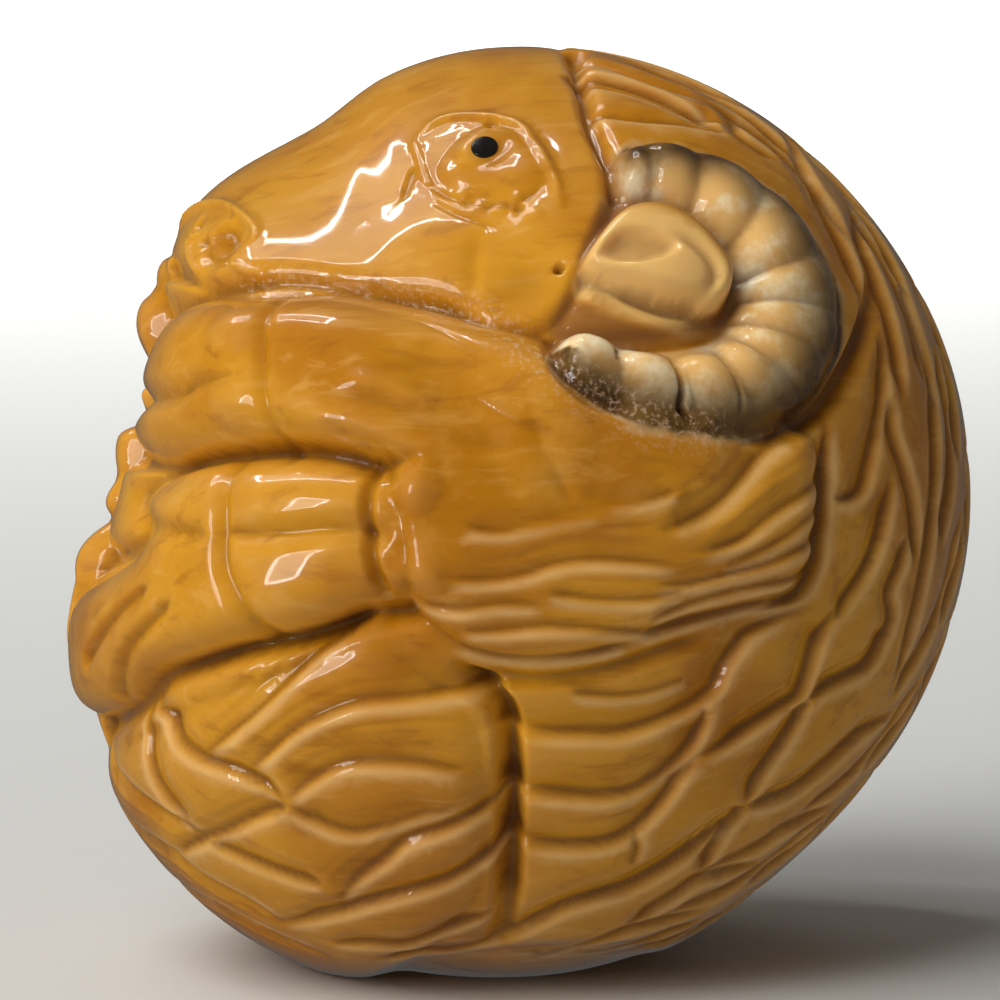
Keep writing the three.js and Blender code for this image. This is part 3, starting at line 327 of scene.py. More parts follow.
def cut(places, depth=0.6, over="right", crest=0.38, body=2.4, level=WOOL, start=0.2, end=0.2, keen=0.06):
    route = path(places, level)
    left, right = (crest, body) if over == "left" else (body, crest)

    def height(p):
        out = np.zeros(len(p))
        k = close_to(route, p, max(left, right))
        if len(k):
            distance, along, side = nearest(route, p[k])
            taper = (smooth(along / start) if start else 1.0) * (smooth((1 - along) / end) if end else 1.0)
            taper = mix(TIP, 1.0, taper)
            v = np.clip(np.hypot(distance / (np.where(side > 0, left, right) * taper), keen), 0, 1)
            out[k] = depth * (1 - v) ** 1.7 * taper
        return out
    height.route, height.lies_over = route, 1 if over == "left" else -1
    return height


def strokes(columns, rows, **settings):
    """V-cuts from a table. Each row gives the values that columns names, then the places of the cut."""
    return [cut(row[-1], **dict(zip(columns.split(), row)), **settings) for row in rows]


def highest(tools, p):
    return np.max([tool(p) for tool in tools], axis=0)


def total(tools, p):
    return np.sum([tool(p) for tool in tools], axis=0)


print("tools ready; the wool's skin lies", WOOL, "mm over the lowest ground")

# %% [markdown]
# ## Head, legs, shoulder and haunch
# The big forms come first, each from its outline on the side of the ball. The head is a smooth
# wedge. The foreleg, with the hoof to the left, lies across over the folded hind leg. The
# shoulder and the haunch are the two rounded masses of the body, and a deep cleft parts them.

# %% Outlines of the big forms
HEAD = [[-15.2, 11.2], [-14.1, 10.5], [-12.5, 10.8], [-10, 10.9], [-7.5, 10.5], [-5.2, 10.1], [-3, 9.7],
    [-1.9, 8.7], [0, 8.4], [1.4, 9.1], [2.4, 10.6], [3.1, 12], [3.7, 13.9], [3.6, 15.7], [3, 17.4],
    [2.6, 19], [2, 20.7], [2.2, 24], [-8, 26], [-16, 20], [-20, 14]]
EAR = [[2.6, 11.4], [3.5, 12.9], [4.5, 13.8], [6.1, 14], [7.7, 13.3], [8.9, 12.1], [9.6, 10.9],
    [9.4, 9.6], [8.5, 9.1], [7.3, 9.3], [5.7, 9.7], [4.3, 10.3], [3.1, 10.8]]
EAR_POCKET = [[3.4, 12], [4.4, 12.9], [5.8, 13], [7, 12.4], [6.9, 11.8], [6, 11.5], [4.8, 11.4],
    [3.9, 11.6]]
COIL = [[1.4, 8.6], [2.4, 10.8], [3.4, 13.6], [5, 15.2], [8, 14.4], [10, 12.2], [10.4, 10], [9, 8.6],
    [6, 8], [3, 8]]
FORELEG = [[-17.3, 7.4], [-16.4, 9.1], [-14.4, 10.2], [-11.4, 10.3], [-8.6, 10.5], [-5.5, 10],
    [-2.7, 9.4], [0.3, 8.6], [3.5, 7], [5.5, 4], [5, 0.5], [0, -0.6], [-3.5, 0.6], [-5.6, 1.7],
    [-8.4, 2.5], [-11.1, 2.8], [-13.9, 2.5], [-16.6, 2.3], [-17.9, 3.1], [-18.1, 4.2], [-17.5, 5.1],
    [-17.7, 6.2]]
HIND_LEG = [[-17.4, 0.8], [-16.6, 1.7], [-15.4, 2.3], [-13.9, 2.75], [-10, 2.95], [-8, 2.8], [-6, 2.6],
    [-3, 2.4], [-2.5, -2], [-4.4, -4], [-6.4, -4.5], [-8, -4.9], [-10, -5.5], [-12.3, -6], [-14.6, -6.7],
    [-16.4, -7.4], [-17.4, -8.6], [-19, -9.6], [-23, -11.5], [-25, -5], [-20.8, -2.8], [-18.9, -2.2],
    [-17.5, -1.3], [-17.2, -0.4]]
SHOULDER = [[-6.6, 2.2], [-6.6, 0], [-6.3, -1.8], [-5.7, -3.6], [-4.8, -5], [-3.6, -6], [-2.6, -6.7],
    [-1, -7.1], [1, -7.2], [3, -6.9], [5.5, -6.2], [7.5, -5.3], [9.5, -4.9], [11.5, -4.4], [13, -3.7],
    [13.8, -2.4], [14.1, -0.8], [14.2, 0.8], [14.2, 3], [13, 5], [9, 5.6], [4, 6.5], [1, 7.6], [-2, 7],
    [-4.5, 4.6]]
HAUNCH = [[-18.5, -9.4], [-16.6, -8.2], [-14, -7.1], [-11, -6.1], [-8.4, -5.1], [-6.4, -4.2],
    [-4.8, -5.6], [-3, -7.2], [-1.5, -8.2], [-0.7, -10], [-0.4, -13], [-0.4, -16], [-1, -18.2],
    [-2.8, -20.2], [-6, -22.6], [-14, -24], [-24, -12]]
FAR_LEGS = (-0.9, 1.8)
PARTING = -2.2

haunch = form(HAUNCH, 2.1, 3.8, level=1.5, outset=0.25)
head = form(HEAD, 1.15, 1.2, outset=0.7)
shoulder = form(SHOULDER, 2.5, 2.2, level=1.7, outset=0.2)
ear = form(EAR, 2.5, 0.8, outset=0.1)
coil_floor = form(COIL, 0.8, 1.0, level=1.0)
legs = [form(HIND_LEG, 2.2, 2.4, outset=0.25), form(FORELEG, 2.6, 2.6, outset=0.25)]
bare = [smooth_outline(outline) for outline in (HEAD, COIL, FORELEG, HIND_LEG)]
print("big forms: head, ear, coil, two legs, shoulder, haunch")

# %% [markdown]
# ## The horn
# The horn curls round the ear. It is half a round bar bent along a path, thick in the middle and
# thin at both ends. Growth rings cross it: they are deep on the inner side of the curl and nearly
# worn away on the outer side.

# %% Horn
HORN_ROUTE = [[4.2, 16.7], [6.8, 16.6], [9.5, 15.6], [11.7, 13.8], [12.9, 11.6], [13.1, 9.4], [12.2, 7.3],
    [10.3, 6.1], [8.0, 5.9], [5.5, 6.3], [3.0, 7.5]]
HORN_WIDTHS = np.array([1.2, 1.6, 2.1, 2.5, 2.8, 2.8, 2.6, 2.3, 2.1, 1.9, 1.5])
HORN_RISE, HORN_RINGS, RING_DEPTH = 2.5, 11, 0.75
horn_path = path(HORN_ROUTE, HORN_RISE)


def horn_place(p, k):
    """Across the horn, from 0 at its middle to 1 at its edge, how far along it, and which side."""
    distance, along, side = nearest(horn_path, p[k])
    width = np.interp(along * (len(HORN_WIDTHS) - 1), np.arange(len(HORN_WIDTHS)), HORN_WIDTHS)
    return distance / width, along, side


def horn(p):
    out = np.zeros(len(p))
    k = close_to(horn_path, p, 4)
    if len(k):
        across, along, side = horn_place(p, k)
        v = np.clip(across, 0, 1)
        phase = along * HORN_RINGS + 0.22 * side * v + 0.3 * np.sin(11 * along)
        ring = np.abs(2 * (phase - np.floor(phase)) - 1) ** 2.2
        inner = 0.58 - 0.5 * side * v
        bar = HORN_RISE * (1 - v ** 2.6) ** 0.6 - RING_DEPTH * inner * ring * (1 - v ** 6)
        out[k] = np.where(across < 1, bar * smooth(0.3 + along / 0.1), 0)
    return out


print("horn path:", len(horn_path), "points,", HORN_RINGS, "rings")

# %% [markdown]
# ## Wool
# The wool is one smooth skin, parted by V-cuts into long curved locks that overlap like shingles.
# Each row below is one stroke of the knife. The locks on the haunch fan out from the cleft to the
# lower left, and those on the back sweep up and to the right.

# %% Cuts on the haunch
haunch_cuts = strokes("depth over body start", [
    (0.6, "left", 2.4, 0, [[-8, -5.4], [-9.5, -6.4], [-10.7, -7.6], [-11.8, -8.7], [-13, -9.7],
     [-14.2, -10.7]]),
    (0.65, "left", 2.4, 0, [[-1.2, -8], [-4, -8.1], [-7, -8.2], [-9, -8.9], [-10.2, -9.6], [-11.2, -10.5],
     [-12.1, -11.3]]),
    (0.5, "left", 2.4, 0.2, [[-2.4, -11.3], [-4.5, -10.9], [-6.5, -10.8], [-8, -11], [-9.2, -11.6],
     [-10.4, -12.5]]),
    (0.65, "right", 1.4, 0.2, [[-16.9, -8.6], [-16, -9.2], [-15.2, -10.1], [-14, -10.8], [-12.5, -11.3],
     [-11.3, -11.9], [-10.3, -12.5]]),
    (0.6, "right", 1.6, 0.2, [[-15.2, -14.8], [-14, -14.3], [-13, -13.9], [-12, -13.4], [-11, -13],
     [-10.2, -12.7]]),
    (0.45, "right", 1.6, 0.2, [[-10.3, -12.7], [-9, -13.4], [-7.5, -13.9], [-6, -13.7], [-4.5, -13.2],
     [-2.8, -12.8]]),
    (0.6, "left", 1.5, 0, [[-1.2, -13.2], [-3.3, -13.8], [-5, -14.3], [-6, -15.1], [-7.2, -16],
     [-8.2, -17.1]]),
    (0.5, "right", 1.5, 0.2, [[-13.8, -14.3], [-12.6, -14.9], [-11.4, -15.4], [-10, -15.9],
     [-8.6, -16.2]]),
    (0.6, "left", 1.5, 0, [[-0.4, -15], [-1.3, -15.4], [-3, -16.1], [-5, -16.6], [-6.5, -17],
     [-7.8, -17.4], [-9.2, -17.7], [-10.6, -17.9]]),
    (0.45, "left", 1.4, 0.2, [[-1.2, -18], [-3.3, -18.8], [-5, -19.1], [-6.5, -18.9], [-8.4, -18.7]]),
    (0.45, "left", 1.2, 0, [[-1, -19.4], [-3, -19.9], [-4.5, -19.9], [-6.2, -19.5]]),
    (0.5, "right", 1.8, 0.2, [[-17.2, -9], [-16.6, -10.6], [-16, -11.8], [-15.2, -12.9], [-14.3, -14]]),
    (0.5, "left", 1.2, 0.2, [[-18.9, -9.8], [-18.1, -11.2], [-17, -12.1], [-16, -12.8], [-15, -13.5],
     [-14, -14.3]]),
    (0.45, "left", 1.2, 0.2, [[-18.8, -11.4], [-17.2, -13.2], [-15.5, -14.6], [-14, -15.8], [-12, -16.9],
     [-10.3, -17.9]]),
    (0.45, "left", 1.2, 0.2, [[-18.4, -12.8], [-16, -15.2], [-13.5, -17], [-11.4, -18.1], [-8.6, -19.2]])])
print("cuts in the haunch:", len(haunch_cuts))

# %% Cuts on the side of the back
back_side_cuts = strokes("depth over body start", [
    (0.7, "right", 2.4, 0, [[0, -9.9], [1.5, -10], [3, -10], [4.5, -10], [6, -9.6], [7.2, -9.1],
     [8.1, -8.6], [8.9, -7.9], [9.3, -7], [9.9, -6.1], [10.5, -5.4], [11.5, -4.8], [12.8, -4.2]]),
    (0.7, "right", 2.4, 0, [[0, -12.7], [2, -12.85], [3.5, -12.95], [5, -12.8], [6, -12.3], [7, -11.5],
     [7.8, -10.6], [8.3, -9.6], [8.5, -8.6]]),
    (0.65, "right", 2.4, 0, [[0, -15], [2, -15.2], [3.8, -15.1], [5, -14.6], [5.9, -13.8], [6.7, -12.9],
     [7.3, -12], [8.1, -11]]),
    (0.7, "right", 2.4, 0, [[-1, -19.5], [0.3, -18.9], [1.9, -18.1], [3.4, -17.6], [5, -17.1],
     [6.5, -16.3], [8, -15.3], [9.2, -14.5], [9.8, -13.9], [10.4, -13.2]]),
    (0.7, "right", 2.4, 0.2, [[8.1, -11.1], [9.5, -10.4], [10.8, -9.6], [11.9, -8.9], [12.8, -8.3],
     [13.2, -7.3], [13.5, -6.2], [13.9, -5.2], [14.6, -4]]),
    (0.65, "right", 1.6, 0.2, [[10.2, -13.3], [10.8, -12.2], [11.5, -11.2], [12.2, -10.2], [12.8, -9.2],
     [13.2, -8.4]]),
    (0.6, "right", 1.4, 0.2, [[8.2, -16.3], [9, -15], [9.7, -14], [10.3, -13.3]]),
    (0.65, "right", 1.8, 0.2, [[13.1, -8.5], [14, -7.9], [15, -7.4], [15.8, -7], [16.3, -6.4],
     [16.7, -5.5], [17.1, -4.4]]),
    (0.6, "right", 1.8, 0.2, [[10.2, -13.3], [11.4, -13.1], [12.6, -12.6], [14, -11.5], [15, -10.6],
     [15.8, -9.9], [17.2, -8.8]]),
    (0.55, "right", 1.5, 0.2, [[8.2, -16.4], [9.5, -16], [11, -15.2], [12, -14.5], [13, -14],
     [14.2, -13.2]]),
    (0.55, "right", 1.5, 0.2, [[4.6, -19], [6, -18.1], [7, -17.5], [8.2, -16.7], [9.4, -16.4],
     [11, -15.8]]),
    (0.5, "right", 1.2, 0.2, [[-0.2, -20.5], [1.5, -20.1], [3.5, -19.6], [5, -19], [6.6, -18.6],
     [8.4, -17.9]]),
    (0.25, "left", 0.6, 0.2, [[5.1, -14.6], [5.3, -15.2], [5, -16]]),
    (0.3, "right", 1.0, 0.2, [[2.2, -8], [4.2, -8.2], [6, -8], [7.6, -7.4]])])
print("cuts in the side of the back:", len(back_side_cuts))

# %% Cuts in the mane
shoulder_edge = cut([[14.2, 4.8], [14.1, 3], [14.15, 1.8], [14.1, 1], [14.05, 0], [13.9, -1], [13.8, -2],
                    [13.4, -3], [12.9, -3.7], [12, -4.1], [10.5, -4.6]], 0.7, "left", body=0.9, level=1.6)
mane_cuts = [shoulder_edge] + strokes("depth over body", [
    (0.55, "right", 1.5, [[14.2, 0.8], [15, 0.8], [15.6, 1.2], [15.9, 2.2], [16.2, 3.5], [16.5, 5],
     [16.6, 7], [16.3, 9]]),
    (0.5, "left", 1.2, [[16.8, 5.6], [17, 3.9], [17.5, 2.3], [17.9, 0.8], [18.05, -0.8], [18, -2.2]]),
    (0.6, "left", 1.8, [[16.9, 1.8], [16.7, 0], [16.3, -1.5], [15.7, -2.8], [15, -3.8], [14.3, -4.9]]),
    (0.5, "left", 1.3, [[17.7, -0.8], [17.4, -2.2], [16.9, -3.5], [17, -4.7], [16.4, -6.2]]),
    (0.5, "left", 1.2, [[18.5, 7.2], [18.9, 4.5], [19, 2], [18.8, -0.5], [18.4, -3], [17.8, -5.5],
     [16.9, -8]]),
    (0.5, "left", 1.0, [[9.6, 18.4], [9.9, 17.6], [10.6, 17], [11.8, 16.2]]),
    (0.6, "left", 1.6, [[12.2, 17.1], [12.9, 16], [13.5, 15], [14.1, 13.8], [14.7, 12.6], [15.3, 11.2],
     [15.6, 9.6]]),
    (0.55, "left", 1.5, [[15.1, 14], [15.6, 12.6], [16.3, 10.8], [16.9, 9], [17.3, 7], [17.4, 5.4]]),
    (0.45, "left", 1.0, [[17.2, 11], [18, 8.9], [18.6, 6.8], [19, 4.6]]),
    (0.45, "right", 0.9, [[2.6, 20.8], [4, 20.4], [6, 19.7], [8.2, 18.9]]),
    (0.5, "right", 1.0, [[3, 19.7], [5, 19.3], [7.4, 18.5], [9.6, 17.8]]),
    (0.5, "right", 0.9, [[3.2, 18.4], [5.2, 18.1], [7.4, 17.9], [9.4, 17.5]])])
print("cuts in the mane:", len(mane_cuts))

# %% Cuts on the shoulder
shoulder_cuts = strokes("depth over crest body", [
    (0.9, "left", 1.0, 1.8, [[12.2, 3.8], [10.9, 2.8], [10.1, 1.8], [9.2, 0.8], [8.2, 0.1], [6.6, -0.6]]),
    (0.5, "left", 0.5, 1.1, [[14.2, 1.9], [13, 1.1], [12, 0.5], [11, -0.2], [9.8, -1.1], [8, -1.7]]),
    (0.3, "left", 0.4, 0.6, [[14.1, 0.3], [13.1, -0.1], [12, -0.9], [10.6, -1.7], [9, -2.3]]),
    (0.5, "left", 0.5, 1, [[14, -0.9], [12.8, -1.5], [11.4, -2.1], [9.6, -2.6], [7.8, -3], [6, -3.1]]),
    (0.5, "left", 0.5, 1, [[13.5, -2.8], [12, -3], [10.2, -3.3], [8.6, -3.7], [7.2, -4.2], [5.8, -4.8]])
], level=2.3, start=0)
shoulder_cuts += strokes("depth over crest body level", [
    (0.4, "left", 0.4, 0.8, 2.0, [[12.8, -3.9], [11, -4.2], [9, -4.6], [7.6, -5], [6.2, -5.3],
     [4.6, -5.1]]),
    (0.45, "right", 0.5, 1.3, 2.2, [[-2.8, -5.2], [-1, -5.1], [1, -4.9], [3, -5], [5, -5.3],
     [6.8, -5.7]]),
    (0.35, "right", 0.4, 0.8, 1.8, [[-3, -5.9], [-1.2, -6.4], [1, -6.5], [3, -6.3], [5, -5.9]]),
    (0.45, "right", 0.5, 1.6, 2.3, [[-3.6, -2.8], [-1.5, -2.8], [0, -2.6], [1.5, -2.1], [3.2, -1.9],
     [5.2, -2], [7.2, -2.2]]),
    (0.3, "right", 0.4, 1.0, 2.3, [[1.2, -3.4], [3.4, -3.7], [5.6, -3.7], [7.4, -3.4]]),
    (0.3, "right", 0.5, 1.2, 2.3, [[-2.6, -0.4], [-1, -0.6], [0.5, -0.3], [2, 0.1], [3.6, 0.2]]),
    (0.35, "left", 0.8, 1.6, 2.3, [[0.5, 4.6], [0.9, 3.2], [1.6, 2.1], [2, 1.1], [2.4, 0.2]]),
    (0.25, "right", 0.5, 1.2, 2.3, [[2.4, 1], [4, 0.7], [5.6, 0.8], [7, 1.2]]),
    (0.35, "right", 0.5, 1, 2.2, [[-5.4, -3], [-4.4, -3.9], [-3, -4.1], [-1, -3.9], [1, -3.9]])])
print("cuts in the shoulder:", len(shoulder_cuts))


# %% Rows of locks over the spine
def spine_cuts():
    """Rows of locks over the back, staggered like roof shingles."""
    cuts, spacing, run = [], 2.5, 26
    for row in range(-1, 3):
        for lock in range(8):
            from_angle = 88 - lock * 22 - (row % 2) * 11
            places = []
            for t in (0, 0.35, 0.7, 1.0):
                angle = radians(from_angle - run * t)
                places.append([19 * cos(angle), 19 * sin(angle), -0.2 - spacing * (row + 1.15 * t ** 2)])
            cuts.append(cut(places, 0.5, "left", body=1.6))
    return cuts


wool_cuts = haunch_cuts + back_side_cuts + mane_cuts + spine_cuts()
print("cuts in the wool, apart from the shoulder:", len(wool_cuts))

# %% [markdown]
# ## Creases and features
# Creases deepen the places where two forms meet. The hooves have a cleft and a groove above
# them, and the eye is an almond swell with a ridge for the lid.

# %% Creases, hooves, ear, eye and nostril
features = [
    groove([[-3.4, -6.6], [-1.7, -7.6], [-0.6, -8.8], [-0.3, -11], [-0.3, -14], [-0.4, -17],
        [-0.9, -19.6]], 2.2, 1.2, hard=0.5, level=1.0),
    groove([[-2.6, -7.3], [0.5, -7.5], [3.6, -7.1], [6.4, -6.2], [9, -5.3]], 1.2, 0.5, level=1.2),
    groove([[-16.4, -7.5], [-13.2, -6.4], [-10.6, -5.9], [-8, -5], [-6.5, -3.9]], 1.1, 0.5),
    groove([[-6.4, 3], [-6.8, 1.2], [-6.8, -0.6], [-6.5, -2.4], [-5.9, -4]], 0.9, 0.5, level=1.6),
    groove([[-16.4, 1.8], [-13.6, 2.7], [-10, 3], [-7.6, 2.6], [-6.2, 1.6]], 1.0, 0.5),
    groove([[-15, 11], [-13.4, 10.4], [-10, 10.7], [-6, 10], [-3, 9.4], [-1.6, 8.4], [1, 8.5]], 0.8, 0.2,
        level=0.8),
    groove([[-1.9, 12.8], [-2, 11.8], [-2.1, 10.8], [-2, 9.8]], 1.6, 0.12, hard=0.5),
    swell([0.4, 10.3], 2.4, -0.35),
    swell([-4.6, 12.1], 3.8, 0.35),
    groove([[2.2, 20.8, -1], [2.8, 19], [3.3, 17.2], [4.2, 15.6], [4.3, 14.2]], 0.9, 0.4),
    swell([-1.3, 15.8], 3.4, -0.12),
    form([[-3.9, 15.6], [-2.9, 17.1], [-1.3, 17.8], [0.4, 17.3], [1.4, 16.1], [0.9, 15], [-0.8, 14.4],
        [-2.7, 14.6]], 0.5, 1.9, level=1.2),
    swell([-13.6, 12.2], 1.6, -0.6),
    swell([-13.7, 12.3], 0.7, 0.9),
    form(EAR_POCKET, -0.7, 0.6, 2.2),
    groove([[6, 12.4], [7.4, 12.4], [8.4, 11.6], [8.7, 10.7], [8.1, 10], [6.8, 10.1], [5.2, 10.8],
        [4, 11.5]], 0.8, 0.32, level=2.2),
    swell([7.1, 11.2], 1.6, 0.15, 2.2),
    groove([[7.8, 3.8], [10.4, 3.6], [12.8, 4.3], [14.4, 6], [15.6, 8.6], [15.9, 11]], 1.6, 0.9),
    groove([[1.3, 8.4], [1.5, 6.4], [3, 4.9], [5.2, 4.3]], 1.0, 0.5),
    groove([[-15.2, 10.2, PARTING], [-16.8, 8, PARTING], [-18, 4, PARTING], [-18.8, 0, PARTING],
        [-19.6, -5, PARTING], [-19, -10, PARTING]], 1.8, 0.9),
    swell([-16.4, 9.4, -0.2], 2.4, 1.2),
    swell([-17.6, 3.2, -0.2], 1.9, 0.7),
    swell([-18.1, -0.4, -0.4], 2.6, 0.8),
    swell([-4.5, 1.2], 1.3, 0.35),
    swell([-4.4, -2.6], 1.4, 0.3),
]
pillow = dict(crest=0.9, body=1.0, level=2.2)
leg_cuts = [
    cut([[-11.4, 10], [-11.6, 7.5], [-11.5, 5.5], [-11.2, 2.9]], 0.38, start=0, end=0, crest=0.7,
        body=0.7, level=2.2),
    cut([[-18.2, 5.1], [-16.2, 5.4], [-14.6, 5.9], [-13, 6.3]], 0.6, start=0, end=0.5, **pillow),
    cut([[-8.6, 5.4], [-6, 4.9], [-4, 3.9], [-2.4, 3.3], [0, 3]], 0.22, **pillow),
    cut([[-13.7, 2.2], [-13.6, 0], [-13.6, -2.2], [-12.9, -4], [-12.1, -5.9]], 0.5, start=0, end=0,
        **pillow),
    cut([[-13.6, -0.8], [-11, -0.8], [-8.6, -0.6], [-6.6, -0.9]], 0.5, start=0, end=0, **pillow),
    cut([[-17.3, -0.4], [-15.8, -0.7], [-14.2, -0.9]], 0.4, start=0, crest=0.8, body=0.9, level=2.0),
    cut([[-16.8, -3.1], [-17.9, -4], [-18.8, -5], [-19.6, -6.4]], 0.5, crest=0.5, body=0.8, level=2.0,
        end=0),
    cut([[-15.8, -3.8], [-16.9, -4.9], [-18, -6.2], [-18.8, -8.4]], 0.5, crest=0.5, body=0.8, level=2.0,
        end=0),
]
leg_ridges = [
    groove([[-8.2, 6.2], [-6, 5.8], [-4.8, 5.3], [-3.7, 4.8]], 1.4, -0.2, level=2.2),
    groove([[-10.7, 4.3], [-8, 4.2], [-6.5, 3.7], [-5, 3], [-3.5, 2.8]], 1.4, -0.2, level=2.2),
    swell([-13, 8.2], 1.5, 0.25, 2.2),
    swell([-13.1, 5], 1.3, 0.2, 2.2),
]
print("features:", len(features) + len(leg_cuts) + len(leg_ridges))

# %% [markdown]
# ## The carved surface
# All the tools come together in one function. The far side is the mirror image of the show side,
# with its legs a little further out, as they are on the real ball. Under the ball the carving is
# smoothed away round the small flat that it stands on.

# %% How far the carving reaches
GROUND = 0.5
HORN_CLEAR = 0.6
SHOULDER_SHARE = 0.7
SKIN_EDGE = 1.2
BASE_CLEAR, BASE_BLEND, BASE_LEVEL = 5.0, 2.0, 1.0
DOWN = np.array([0.0, -sin(radians(LEAN)), -cos(radians(LEAN))])


def sides(d):
    """Points on the blank seen from the show side, the same for the legs, and the blank's radius."""
    blank = blank_radius(d)
    shown = d * blank[:, None]
    far = shown[:, 1] >= PARTING
    shown[:, 1] = -np.abs(shown[:, 1])
    leg = shown.copy()
    q = shown[far] - np.array([FAR_LEGS[0], 0, FAR_LEGS[1]])
    q /= np.linalg.norm(q, axis=1)[:, None]
    leg[far] = q * blank_radius(q)[:, None]
    return shown, leg, blank


def wool_skin(p):
    x, z = appears(p, WOOL)
    covered = np.max([inside_by(outline, x, z) for outline in bare], axis=0)
    return WOOL * (1 - (1 - np.clip(-covered / SKIN_EDGE, 0, 1)) ** 2), 1 - smooth(covered / 0.8 + 0.5)


def off_foot(d, blank):
    return smooth((np.linalg.norm(d - DOWN, axis=1) * blank - BASE_CLEAR) / BASE_BLEND)


def carved_radius(d):
    shown, leg, blank = sides(d)
    skin, share = wool_skin(leg)
    on_horn = horn(shown)
    height = highest([haunch, head, shoulder, ear, coil_floor], shown)
    height = np.max([height, on_horn, highest(legs, leg), skin, np.full(len(d), GROUND)], axis=0)
    off_horn = 1 - smooth(on_horn / HORN_CLEAR)
    height -= highest(wool_cuts, shown) * share * off_horn
    height -= SHOULDER_SHARE * highest(shoulder_cuts, shown) * off_horn
    height += total(features, shown) + total(leg_ridges, leg) - highest(leg_cuts, leg)
    return blank - WASTE + mix(BASE_LEVEL, height, off_foot(d, blank))


print("radius at the nose tip:", round(float(carved_radius(np.array([[-0.75, 0.0, 0.66]]))[0]), 2), "mm")

# %% [markdown]
# ## Carving the ball
# The ball starts as an ico sphere, because its faces are all nearly alike. Its points are drawn
# towards the show side, where the finest work is, and then each one is moved out to the carved
# surface. A Smooth modifier does what the carver's polishing does to fresh cuts.

# %% A dense ball, carved and polished
DETAIL = 8
bpy.ops.object.select_all(action="DESELECT")
bpy.ops.mesh.primitive_ico_sphere_add(subdivisions=DETAIL, radius=1.0)
ram = bpy.context.object
ram.name = "ram_carving"


def read_points(piece):
    points = np.empty(len(piece.data.vertices) * 3)
    piece.data.vertices.foreach_get("co", points)
    return points.reshape(-1, 3)


def write_points(piece, points):
    piece.data.vertices.foreach_set("co", points.ravel())
    piece.data.update()


def choose(piece):
    """Selects one piece alone and makes it the one that operators and modifiers act on."""
    bpy.ops.object.select_all(action="DESELECT")
    piece.select_set(True)
    bpy.context.view_layer.objects.active = piece


def outward(points):
    return points / np.linalg.norm(points, axis=1)[:, None]


def finish_with(piece, kind, **settings):
    modifier = piece.modifiers.new(kind.title(), kind)
    for name, value in settings.items():
        setattr(modifier, name, value)
    bpy.context.view_layer.objects.active = piece
    bpy.ops.object.modifier_apply(modifier=modifier.name)


def crowd(directions, place, reach, share):
    """Draws the points round a place towards it, so that fine work there gets more of them."""
    for side in (1, -1):
        middle = outward(on_blank([place]) * (1, side, 1))
        away = directions - middle
        far = np.linalg.norm(away, axis=1) * 20 / reach
        directions = outward(middle + away * mix(share, 1, smooth(far))[:, None])
    return directions


TOWARDS_SHOW_SIDE = np.array([0.0, -0.25, 0.0])
EYE_REGION, NOSTRIL = [-1.5, 15.5], [-13.6, 12.3]
directions = outward(read_points(ram) + TOWARDS_SHOW_SIDE)
directions = crowd(crowd(directions, EYE_REGION, 8, 0.6), NOSTRIL, 4.5, 0.6)
write_points(ram, directions * carved_radius(directions)[:, None])
finish_with(ram, "SMOOTH", factor=0.5, iterations=2)
print("carved:", len(ram.data.polygons), "faces")

# %% [markdown]
# ## Fine lines
# The sharpest work comes after the polish: the lids, the wrinkles at the eye, the nostril's rim,
# the cracks in the horn and a few hair lines. They are only a few tenths of a millimetre deep.
# Round each pupil the eye is levelled to a small seat, so that the peg stands just proud of it.

